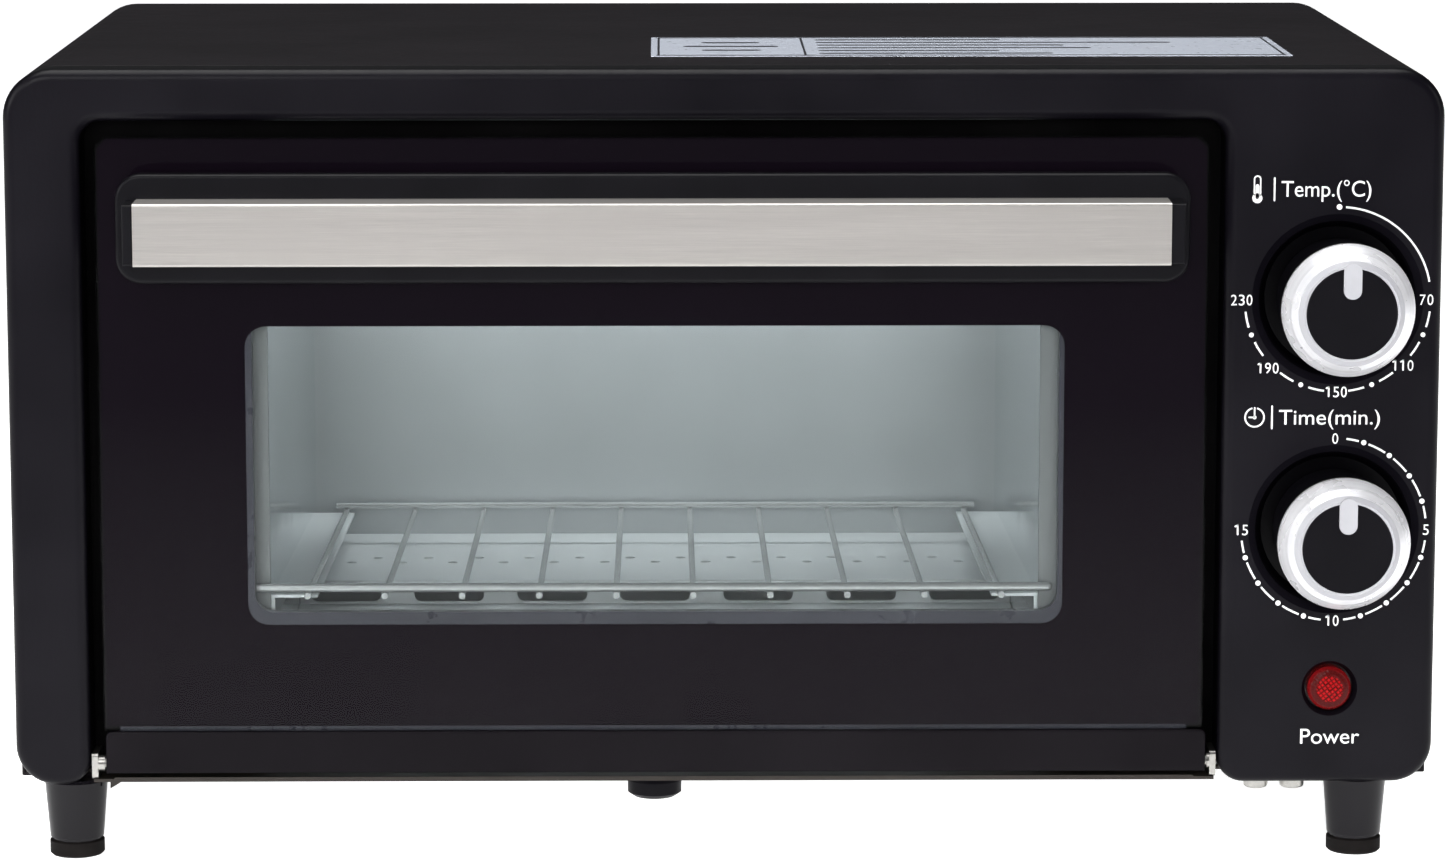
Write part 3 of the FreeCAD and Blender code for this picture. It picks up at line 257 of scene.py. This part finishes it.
def coated_sheet(name, base, rough, metal, spangle=7.0, contrast=1.0):
    """Zinc or aluminium coated sheet: soft sheen, crystals spangle mm across, rolled grain."""
    look = Look(name, Metallic=metal)
    crystals = look.cells(spangle)
    clouds = look.noise(30, 4)
    rolled = look.noise(0.5, 2, along=look.stretched(1, 1, 14))
    light, dark = times(base, 1 + 0.08 * contrast), times(base, 1 - 0.12 * contrast)
    first = look.blend(look.spread(crystals, 0.1, 0.7), light, dark)
    look.colour(look.blend(look.spread(clouds, 0.38, 0.62, 0, 0.55), first, base))
    look.roughness(clouds, rough - 0.05, rough + 0.06)
    look.bump((rolled, 0.006 * contrast + 0.002))
    return look.mat


def lined_sheet(name, base, front):
    """Bright-rolled liner: mirror-like walls behind the depth front in mm, a satin flange before it."""
    look = Look(name)
    wall = look.spread(look.axis("Y"), front, front + 0.8)
    clouds = look.noise(30, 3)
    rolled = look.noise(0.5, 2, along=look.stretched(1, 14, 1))
    toned = look.blend(look.spread(clouds, 0.35, 0.65), times(base, 0.95), base)
    look.colour(look.blend(wall, times(base, 0.17), toned))
    look.join(look.spread(wall, 0, 1, 0.1, 0.97), look.shader.inputs["Metallic"])
    sheen = look.spread(clouds, 0.3, 0.7, 0.11, 0.17)
    flange_more = look.spread(wall, 0, 1, 0.3, 0)
    look.join(look.maths("ADD", sheen, flange_more), look.shader.inputs["Roughness"])
    look.bump((rolled, 0.002))
    return look.mat


def moulded(name, base, rough, shine=0.5):
    """Moulded plastic: fine skin texture, slow gloss changes, rubbed edges."""
    skin_depth = 0.012
    look = Look(name, Specular_IOR_Level=shine)
    toned = look.blend(look.spread(look.noise(16, 3), 0.35, 0.65), times(base, 0.85), times(base, 1.12))
    look.colour(look.blend(look.edges(), toned, times(base, 1.7, 0.01)))
    look.roughness(look.noise(5, 4), rough - 0.03, rough + 0.05)
    look.bump((look.noise(0.4, 2), skin_depth), (look.noise(12, 1), skin_depth * 6))
    return look.mat


def pane():
    """Clear flat glass: lets light straight through and mirrors by angle."""
    look = Look("oven_glass")
    look.tree.nodes.remove(look.shader)
    clear = look.add("ShaderNodeBsdfTransparent")
    clear.inputs["Color"].default_value = (0.93, 0.95, 0.95, 1)
    mirror = look.add("ShaderNodeBsdfGlossy")
    mirror.inputs["Roughness"].default_value = 0.02
    share = look.add("ShaderNodeFresnel")
    share.inputs["IOR"].default_value = 1.25
    waver = look.add("ShaderNodeBump")
    waver.inputs["Distance"].default_value = 0.02 * MM
    look.join(look.noise(45, 1), waver.inputs["Height"])
    look.join(waver.outputs["Normal"], mirror.inputs["Normal"])
    mix = look.add("ShaderNodeMixShader")
    for source, target in zip((share, clear, mirror), mix.inputs):
        look.join(source.outputs[0], target)
    look.join(mix.outputs[0], look.output.inputs["Surface"])
    return look.mat


def lens_red(centre):
    """Red pilot-lamp lens: a faceted bright core inside a darker smooth collar, radii in mm."""
    core_radius, rim_start, rim_end = 3.7, 4.7, 5.3
    look = Look("lamp_lens_red", Specular_IOR_Level=0.10, IOR=1.49, Coat_Weight=0.03, Coat_Roughness=0.03)
    shift = look.add("ShaderNodeMapping")
    shift.inputs["Location"].default_value = (-centre.x / MM, 0, -centre.z / MM)
    shift.inputs["Scale"].default_value = (1, 0, 1)
    look.join(look.mm, shift.inputs["Vector"])
    radial = look.add("ShaderNodeVectorMath", operation="LENGTH")
    look.join(shift.outputs["Vector"], radial.inputs[0])
    turned = look.add("ShaderNodeMapping")
    turned.inputs["Rotation"].default_value = (0, math.radians(38), 0)
    look.join(shift.outputs["Vector"], turned.inputs["Vector"])
    facets = look.add("ShaderNodeTexVoronoi", distance="CHEBYCHEV")
    facets.inputs["Scale"].default_value = 1.0
    facets.inputs["Randomness"].default_value = 0.2
    look.join(turned.outputs["Vector"], facets.inputs["Vector"])
    height = facets.outputs["Distance"]
    sparkle = look.blend(look.spread(height, 0.1, 0.5), (0.35, 0.004, 0.006), (0.03, 0.001, 0.001))
    ragged = look.maths("MULTIPLY", look.noise(1.1, 2), 0.9)
    uneven = look.maths("ADD", radial.outputs["Value"], ragged)
    core = look.spread(uneven, core_radius + 0.3, core_radius)
    rim = look.spread(radial.outputs["Value"], rim_start, rim_end)
    collar = look.blend(rim, (0.055, 0.004, 0.004), (0.13, 0.004, 0.005))
    shown = look.blend(core, collar, sparkle)
    look.colour(shown)
    look.join(shown, look.shader.inputs["Emission Color"])
    look.plain(Emission_Strength=0.07, Roughness=0.12)
    look.bump((height, 0.15), (look.noise(0.8, 2), 0.02))
    return look.mat


def rubber(name, base):
    """Dull black rubber with a little pale dust."""
    look = Look(name, Specular_IOR_Level=0.15)
    dust = look.noise(3.5, 4)
    look.colour(look.blend(look.spread(dust, 0.45, 0.75, 0, 0.5), base, times(base, 2.2, 0.003)))
    look.roughness(dust, 0.62, 0.8)
    look.bump((look.noise(0.35, 2), 0.03), (look.noise(1.8, 2), 0.04))
    return look.mat


def heater_sheath():
    """Heat-tinted steel tube: straw and blue-grey bands over a dull scale."""
    straw, blue_grey, dull = (0.17, 0.135, 0.11), (0.12, 0.125, 0.15), (0.07, 0.065, 0.06)
    look = Look("heater_sheath", Metallic=0.85)
    tint = look.noise(26, 3, along=look.stretched(2.5, 1, 1))
    scale = look.noise(1.6, 4)
    first = look.blend(look.spread(tint, 0.35, 0.65), straw, blue_grey)
    look.colour(look.blend(look.spread(scale, 0.5, 0.75), first, dull))
    look.roughness(scale, 0.38, 0.6)
    look.bump((scale, 0.05))
    return look.mat


def ceramic():
    """Unglazed ceramic, cream with fine darker specks."""
    look = Look("steatite", Specular_IOR_Level=0.35)
    specks = look.noise(0.8, 4)
    look.colour(look.blend(look.spread(specks, 0.55, 0.7), (0.78, 0.75, 0.68), (0.62, 0.57, 0.48)))
    look.roughness(specks, 0.5, 0.7)
    look.bump((specks, 0.05))
    return look.mat


def printed(name, base, rough=0.5, depth=0.01, shine=0.3):
    """Screen-printed ink with a slightly uneven film."""
    look = Look(name, Specular_IOR_Level=shine)
    film = look.noise(0.6, 3)
    look.colour(look.blend(look.spread(film, 0.35, 0.7), times(base, 0.93), base))
    look.roughness(look.noise(2.5, 2), rough - 0.08, rough + 0.1)
    look.bump((film, depth))
    return look.mat


face_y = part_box("front_frame")[0].y
lens_centre = sum(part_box("lamp_lens"), Vector()) / 2
temperature_centre = sum(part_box("temperature_knob"), Vector()) / 2
timer_centre = sum(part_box("timer_knob"), Vector()) / 2
dial_x = temperature_centre.x / MM
high_z = temperature_centre.z / MM
low_z = timer_centre.z / MM
LINER_FLANGE = 1.2  # the liner's front flange lies within this depth
cavity_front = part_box("cavity_liner")[0].y / MM + LINER_FLANGE
RING_FACE = 13.5  # radius where a dial ring's satin face meets its bevel
GRAIN_X = (60, 1, 1)
GRAIN_Y = (1, 30, 1)
ALUMINISED = {"rough": 0.34, "metal": 0.35, "spangle": 26, "contrast": 0.25}
LOOKS = {
    "frame_paint": painted("frame_powder_coat", (0.0031, 0.0026, 0.0044), 0.33, grain=0.6, depth=0.03,
                           shine=0.14, streak=(1, 1, 7), face=face_y / MM),
    "casing_paint": painted("casing_powder_coat", (0.0052, 0.0037, 0.0049), 0.43, grain=0.8, depth=0.06,
                            shine=0.17),
    "rear_paint": painted("rear_paint", (0.0042, 0.0040, 0.0045), 0.5, grain=0.6, depth=0.04, shine=0.12),
    "pan_steel": painted("door_pan_enamel", (0.028, 0.028, 0.037), 0.30, grain=1.4, depth=0.02, shine=0.5),
    "rail_paint": painted("rail_paint", (0.0037, 0.0028, 0.0041), 0.34, grain=0.7, depth=0.03, shine=0.09),
    "zinc_sheet": coated_sheet("zinc_sheet", (0.42, 0.42, 0.42), rough=0.38, metal=0.9),
    "cavity_steel": coated_sheet("aluminised_sheet", (0.70, 0.725, 0.735), **ALUMINISED),
    "rack_chrome": brushed("rack_chrome", (0.56, 0.57, 0.57), 0.20, GRAIN_Y, contrast=0.08, depth=0.004,
                           metal=0.70, blotch=0.12),
    "brushed_strip": brushed("strip_brushed_steel", (0.63, 0.603, 0.575), 0.36, GRAIN_X, contrast=0.09,
                             depth=0.01, metal=0.85, blotch=0.02, fine=0.22),
    "screw_steel": brushed("screw_zinc", (0.58, 0.57, 0.54), 0.30, (1, 1, 1), contrast=0.12, depth=0.01,
                           fine=0.6),
    "bell_steel": brushed("bell_plated", (0.72, 0.71, 0.68), 0.18, (4, 1, 4), contrast=0.06, depth=0.005),
    "knob_metal": turned_metal("knob_satin", (0.86, 0.86, 0.89), 0.27, dial_x, (low_z, high_z), RING_FACE),
    "heater_steel": heater_sheath(),
    "ceramic": ceramic(),
    "handle_plastic": moulded("handle_plastic", (0.0040, 0.0038, 0.0050), 0.34, 0.13),
    "knob_plastic": moulded("knob_plastic", (0.0036, 0.0033, 0.0046), 0.34, 0.10),
    "leg_plastic": moulded("leg_plastic", (0.0044, 0.0038, 0.0053), 0.10, 0.28),
    "lamp_black": moulded("lamp_nylon", (0.010, 0.010, 0.010), 0.4),
    "switch_plastic": moulded("phenolic", (0.42, 0.37, 0.27), 0.42),
    "pad_rubber": rubber("pad_rubber", (0.0052, 0.0042, 0.0040)),
    "label_film": printed("label_film", (0.56, 0.60, 0.68), 0.34),
    "glass": pane(),
    "lamp_red": lens_red(lens_centre),
}
# nodes that look different from the rest of their material slot
SINGLE = {
    "base_plate": coated_sheet("base_sheet", (0.022, 0.018, 0.015), rough=0.5, metal=0.2),
    "cavity_liner": lined_sheet("bright_liner", (0.91, 0.94, 0.95), cavity_front),
    # painted shade: the back wall is the liner's aluminised sheet made much darker, for the shade deep in
    # the cavity
    "cavity_back_wall": coated_sheet("back_sheet_painted_shade", (0.285, 0.297, 0.305), **ALUMINISED),
    "lower_heater_guard": coated_sheet("guard_sheet", (0.56, 0.58, 0.59), **ALUMINISED),
    # painted shade: the front plate seen through the door gap is made near black with almost no gloss, for
    # the shade deep in the gap
    "cavity_front_plate": painted("gap_painted_shade", (0.0008, 0.0007, 0.0008), 0.6, grain=0.6, depth=0.04,
                                  shine=0.01),
}
for part in frame["record"]["subparts"]:
    mesh = nodes[part["node"]].data
    mesh.materials.clear()
    mesh.materials.append(SINGLE.get(part["node"]) or LOOKS[part["material_slot"]])


# ---------------------------------------------------------------------------------------------
# Printed marks: thin films on the CAD surfaces, or just under one for the glass
# ---------------------------------------------------------------------------------------------
FILM = 0.05 * MM
CAPITAL = 0.73  # height of a capital letter of the built-in font at size 1


def on_circle(x, z, radius, angle):
    """Point on a circle; the angle is in degrees clockwise from the top."""
    a = math.radians(angle)
    return x + radius * math.sin(a), z + radius * math.cos(a)


class Print:
    """Collects flat marks, drawn in millimetres in the x-z plane, into one thin mesh."""

    def __init__(self, name):
        self.name = name
        self.bm = bmesh.new()

    def face(self, points):
        self.bm.faces.new([self.bm.verts.new((x, 0, z)) for x, z in points])

    def disc(self, x, z, radius):
        steps = 32
        self.face([on_circle(x, z, radius, 360 * k / steps) for k in range(steps)])

    def bar(self, x0, z0, x1, z1, width):
        """Straight stroke with round ends."""
        steps = 8
        angle = math.atan2(z1 - z0, x1 - x0)
        points = []
        for x, z, start in ((x1, z1, angle - math.pi / 2), (x0, z0, angle + math.pi / 2)):
            for k in range(steps + 1):
                a = start + math.pi * k / steps
                points.append((x + width / 2 * math.cos(a), z + width / 2 * math.sin(a)))
        self.face(points)

    def arc(self, x, z, radius, first, last, width):
        """Stroke along a circle; angles are in degrees clockwise from the top."""
        steps = max(3, int(abs(last - first) / 3))
        inner, outer = radius - width / 2, radius + width / 2
        for k in range(steps):
            start, end = (first + (last - first) * n / steps for n in (k, k + 1))
            corners = ((inner, start), (outer, start), (outer, end), (inner, end))
            self.face([on_circle(x, z, r, angle) for r, angle in corners])

    def text(self, words, x, z, height, width, align="CENTER"):
        """Letters of a given capital height with the baseline at z, squeezed to a given width."""
        curve = bpy.data.curves.new("letters", "FONT")
        curve.body = words
        curve.size = 1
        holder = bpy.data.objects.new("letters", curve)
        scene.collection.objects.link(holder)
        bpy.context.view_layer.update()
        mesh = bpy.data.meshes.new_from_object(holder)
        xs = [v.co.x for v in mesh.vertices]
        up = height / CAPITAL
        across = width / (max(xs) - min(xs))
        start = {"CENTER": (min(xs) + max(xs)) / 2, "LEFT": min(xs)}[align]
        made = [self.bm.verts.new((x + (v.co.x - start) * across, 0, z + v.co.y * up))
                for v in mesh.vertices]
        for polygon in mesh.polygons:
            self.bm.faces.new([made[i] for i in polygon.vertices])
        bpy.data.objects.remove(holder)
        bpy.data.curves.remove(curve)
        bpy.data.meshes.remove(mesh)

    def number(self, digits, x, z, height):
        """Figures of equal pitch, centred on x; a one is drawn as a stroke with a flag."""
        pitch, digit_width, stroke = 0.69 * height, 0.52 * height, 0.15 * height
        x -= pitch * (len(digits) - 1) / 2
        for k, digit in enumerate(digits):
            middle = x + pitch * k
            if digit == "1":
                stem = middle + 0.03 * height
                top = z + height - stroke / 2
                self.bar(stem, z + stroke / 2, stem, top, stroke)
                self.bar(middle - 0.17 * height, z + 0.80 * height, stem, top, stroke)
            else:
                self.text(digit, middle, z, height, digit_width)

    def holed(self, outline, hole):
        """Face inside one outline and outside another."""
        loops = []
        for points in (outline, hole):
            ring = [self.bm.verts.new((x, 0, z)) for x, z in points]
            loops += [self.bm.edges.new((ring[k - 1], ring[k])) for k in range(len(ring))]
        bmesh.ops.triangle_fill(self.bm, edges=loops, use_beauty=True)

    def finish(self, y, material, body, flat=None):
        """Thickens the marks towards -Y and puts them in the scene at the depth y, in metres.

        Flat marks lie in the x-y plane instead, at the height flat, and are thickened upwards.
        """
        bmesh.ops.recalc_face_normals(self.bm, faces=self.bm.faces)
        for face in self.bm.faces:
            if face.normal.y > 0:
                face.normal_flip()
        raised = bmesh.ops.extrude_face_region(self.bm, geom=self.bm.faces[:])
        for v in raised["geom"]:
            if isinstance(v, bmesh.types.BMVert):
                v.co.y -= FILM / MM
        for v in self.bm.verts:
            x, depth, z = v.co * MM
            v.co = (x, y + depth, z) if flat is None else (x, z, flat - depth)
        bmesh.ops.recalc_face_normals(self.bm, faces=self.bm.faces)
        mesh = bpy.data.meshes.new(self.name)
        self.bm.to_mesh(mesh)
        self.bm.free()
        mesh.materials.append(material)
        piece = bpy.data.objects.new(self.name, mesh)
        scene.collection.objects.link(piece)
        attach(piece, body)


# control panel: scales, words and symbols in white ink
SCALE = 24.0  # radius of both dial scales
STROKE = 0.5
DIGIT = 2.9  # height of the figures
CAPTION_Z = 31.4
marks = Print("panel_print")


def temperature_scale():
    """Dot at off and an arc to 70, then a dash, a dot and a dash between each two figures."""
    off_dot, middle_dot, dash_angle, step = 0.72, 0.62, 10, 45
    reaches = {"70": 22.9, "110": 24.2, "150": 24.0, "190": 25.1, "230": 24.8}
    marks.disc(dial_x, high_z + SCALE, off_dot)
    marks.arc(dial_x, high_z, SCALE, 4, 79, STROKE)
    for k, (label, reach) in enumerate(reaches.items()):
        x, z = on_circle(dial_x, high_z, reach, 90 + step * k)
        marks.number(label, x, z - DIGIT / 2, DIGIT)
    for k in range(len(reaches) - 1):
        start = 90 + step * k
        for first in (start + 7.5, start + 27.5):
            marks.arc(dial_x, high_z, SCALE, first, first + dash_angle, STROKE)
        marks.disc(*on_circle(dial_x, high_z, SCALE, start + step / 2), middle_dot)


def timer_scale():
    """Fifteen minutes: a dash for each, between a figure at every fifth and dots at the others."""
    last_minute, minute_angle, beside_dot, beside_figure, minute_dot = 15, 18, 3.2, 7, 0.68
    for minute in range(0, last_minute + 1, 5):
        x, z = on_circle(dial_x, low_z, SCALE, minute_angle * minute)
        marks.number(str(minute), x, z - DIGIT / 2, DIGIT)
    for minute in range(last_minute):
        start = minute_angle * minute
        first = start + (beside_figure if minute % 5 == 0 else beside_dot)
        last = start + minute_angle - (beside_figure if minute % 5 == 4 else beside_dot)
        marks.arc(dial_x, low_z, SCALE, first, last, STROKE)
        if minute % 5:
            marks.disc(*on_circle(dial_x, low_z, SCALE, start), minute_dot)


def heading(words, x, z, height, width):
    """Words from x rightwards about the height z, with an upright stroke before them."""
    rule_x, rule_half = x - 1.8, 2.9
    marks.text(words, x, z - 1.9, height, width, "LEFT")
    marks.bar(rule_x, z - rule_half, rule_x, z + rule_half, 0.45)


def thermometer(x, z):
    """Filled bulb and column inside the outline of a tube."""
    bulb, column, tube, wall, tube_top = 1.3, 1.0, 0.8, 0.34, z + 2.6
    marks.disc(x, z - 2.3, bulb)
    marks.bar(x, z - 2.0, x, z + 0.8, column)
    marks.arc(x, tube_top, tube, -90, 90, 0.36)
    for side in (x - tube, x + tube):
        marks.bar(side, z - 1.5, side, tube_top, wall)


def clock(x, z):
    """Round face with its hands at nine o'clock."""
    stroke = 0.42
    marks.arc(x, z, 2.45, 14, 346, stroke)
    marks.bar(x, z, x, z + 2.5, stroke)
    marks.bar(x, z, x - 1.4, z, stroke)
    marks.disc(x, z, 0.5)


temperature_scale()
timer_scale()
heading("Temp.(°C)", dial_x - 15.0, high_z + 28.6, 4.3, 23.1)
thermometer(dial_x - 21.2, high_z + 28.6)
heading("Time(min.)", dial_x - 14.7, low_z + 29.5, 4.1, 26.2)
clock(dial_x - 21.0, low_z + 29.5)
marks.text("Power", lens_centre.x / MM + 0.3, CAPTION_Z, 4.2, 15.4)
white_ink = printed("white_ink", (0.86, 0.86, 0.86))
marks.finish(face_y - FILM, white_ink, "cabinet")


def label_rows():
    """Keyline round the roof label, a divider, and rows of bars that stand for its text."""
    label_low, label_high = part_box("top_label")
    margin, long_edge, short_edge = 2, 1.6, 0.6
    rows = Print("label_print")
    left, right = label_low.x / MM + margin, label_high.x / MM - margin
    near, far = label_low.y / MM + margin, label_high.y / MM - margin
    divider = left + 0.235 * (right - left)
    for z in (near, far):
        rows.bar(left, z, right, z, long_edge)
    for x in (left, right, divider):
        rows.bar(x, near, x, far, short_edge)

    shares = (0.42, 0.82, 0.56, 0.62, 0.40, 0.52)
    first, last = far - 7, near + 6
    row_start, row_room = divider + 5, right - divider - 12
    for k, share in enumerate(shares):
        z = first + (last - first) * k / (len(shares) - 1)
        rows.bar(row_start, z, row_start + share * row_room, z, 2.6)

    middle_x, middle_z, half_room, pitch = (left + divider) / 2, (near + far) / 2, 14, 12
    for k, share in ((1, 0.45), (0, 0.8), (-1, 0.45)):
        z = middle_z + pitch * k
        rows.bar(middle_x - share * half_room, z, middle_x + share * half_room, z, 3.2)
    grey_ink = printed("grey_ink", (0.020, 0.021, 0.027))
    rows.finish(0, grey_ink, "cabinet", flat=label_high.z)


label_rows()


def rounded_outline(left, right, low, high, radius):
    """Corner points of a rounded rectangle, counter-clockwise from the lower left."""
    steps = 10
    points = []
    corners = ((left + radius, low + radius, 180), (right - radius, low + radius, 270),
               (right - radius, high - radius, 0), (left + radius, high - radius, 90))
    for x, z, start in corners:
        for k in range(steps + 1):
            a = math.radians(start + 90 * k / steps)
            points.append((x + radius * math.cos(a), z + radius * math.sin(a)))
    return points


def glass_border():
    """Black border just inside the door glass's back face, with the clear window left open."""
    glass_low, glass_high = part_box("door_glass")
    inset, corner = 0.6, 2.6
    left, right = glass_low.x / MM + inset, glass_high.x / MM - inset
    low, high = glass_low.z / MM + inset, glass_high.z / MM - inset
    outline = [(left, low), (right, low), (right, high - corner), (right - corner, high),
               (left + corner, high), (left, high - corner)]
    window = rounded_outline(left=-124.1, right=88.0, low=62.7, high=141.2, radius=5.5)
    border = Print("glass_border")
    border.holed(outline, window)
    enamel = printed("border_enamel", (0.0050, 0.0030, 0.0056), depth=0.0008, shine=0.0)
    border.finish(glass_high.y - 2 * FILM, enamel, "door")


glass_border()


# ---------------------------------------------------------------------------------------------
# Floor, light and camera; lengths in metres
# ---------------------------------------------------------------------------------------------
def studio_floor():
    """Pale floor: white to the camera; to reflections and bounced light dimmer, and more so in front."""
    half, below_feet = 9, 0.0002
    corners = [(x, y, -below_feet) for x, y in ((-half, -half), (half, -half), (half, half), (-half, half))]
    mesh = bpy.data.meshes.new("studio_floor")
    mesh.from_pydata(corners, [], [(0, 1, 2, 3)])
    floor = bpy.data.objects.new("studio_floor", mesh)
    scene.collection.objects.link(floor)
    look = Look("studio_floor", Roughness=0.8, Specular_IOR_Level=0.05, Emission_Color=(1, 1, 1, 1))
    depth = look.axis("Y")
    to_camera = look.add("ShaderNodeLightPath").outputs["Is Camera Ray"]
    pale = look.blend(look.noise(400, 3), (0.86, 0.86, 0.86), (0.89, 0.89, 0.89))
    shown = look.maths("MAXIMUM", look.spread(depth, -900, -350), to_camera)
    look.colour(look.blend(shown, (0.10, 0.10, 0.11), pale))
    glow = look.spread(depth, -420, -110, 0.2, 0.52)
    camera_glow = look.spread(to_camera, 0, 1, 0, 0.95)
    look.join(look.maths("MAXIMUM", glow, camera_glow), look.shader.inputs["Emission Strength"])
    mesh.materials.append(look.mat)


def backdrop():
    """World: white to the camera, and dim to reflections and bounced light."""
    world = bpy.data.worlds.new("studio")
    world.use_nodes = True
    tree = world.node_tree
    background = tree.nodes["Background"]
    background.inputs["Color"].default_value = (0.93, 0.94, 1.0, 1)
    ray = tree.nodes.new("ShaderNodeLightPath")
    level = tree.nodes.new("ShaderNodeMapRange")
    level.inputs["To Min"].default_value = 0.06
    level.inputs["To Max"].default_value = 1.1
    tree.links.new(ray.outputs["Is Camera Ray"], level.inputs["Value"])
    tree.links.new(level.outputs[0], background.inputs["Strength"])
    scene.world = world


def softbox(name, place, target, size, power, colour=(1, 1, 1), seen=True, beam=180):
    """Rectangular light aimed at a target; seen is whether reflections show it, beam its spread."""
    lamp = bpy.data.lights.new(name, "AREA")
    lamp.shape = "RECTANGLE"
    lamp.size, lamp.size_y = size
    lamp.energy = power
    lamp.color = colour
    lamp.spread = math.radians(beam)
    holder = bpy.data.objects.new(name, lamp)
    holder.location = place
    holder.rotation_euler = (Vector(target) - Vector(place)).to_track_quat("-Z", "Y").to_euler()
    holder.visible_camera = False
    holder.visible_glossy = seen
    scene.collection.objects.link(holder)


def photo_camera():
    """Camera at the photograph's viewing angle."""
    camera = bpy.data.cameras.new("camera")
    camera.sensor_width = 36
    camera.lens = 128.84
    camera.clip_start = 0.05
    look_down, turn_right = 9.026, 0.679
    eye = bpy.data.objects.new("camera", camera)
    eye.location = (-0.01628, -1.41925, 0.32408)
    eye.rotation_euler = Euler((math.radians(90 - look_down), 0, math.radians(-turn_right)), "XYZ")
    scene.collection.objects.link(eye)
    scene.camera = eye


studio_floor()
backdrop()
OVEN_FRONT = (0, 0, 0.1)
OVEN_SIDE = (0, -0.05, 0.1)
softbox("overhead", (-0.1, 0.1, 1.8), (0, 0.05, 0), (1.5, 1.5), 28)
softbox("front", (-0.75, -1.7, 1.3), OVEN_FRONT, (1.0, 0.7), 11.5)
softbox("front_fill", (-0.1, -2.1, 0.42), OVEN_FRONT, (1.2, 0.5), 5, seen=False, beam=50)
softbox("left", (-1.5, -0.7, 0.7), OVEN_SIDE, (0.7, 0.9), 8)
softbox("right", (1.5, -0.5, 0.6), OVEN_SIDE, (0.5, 0.8), 2)
softbox("inside_glow", (-0.018, 0.078, 0.151), (-0.018, 0.095, 0.108), (0.19, 0.02), 0.19,
        colour=(0.95, 0.99, 1.0), seen=False)
photo_camera()
scene.view_settings.view_transform = "Standard"
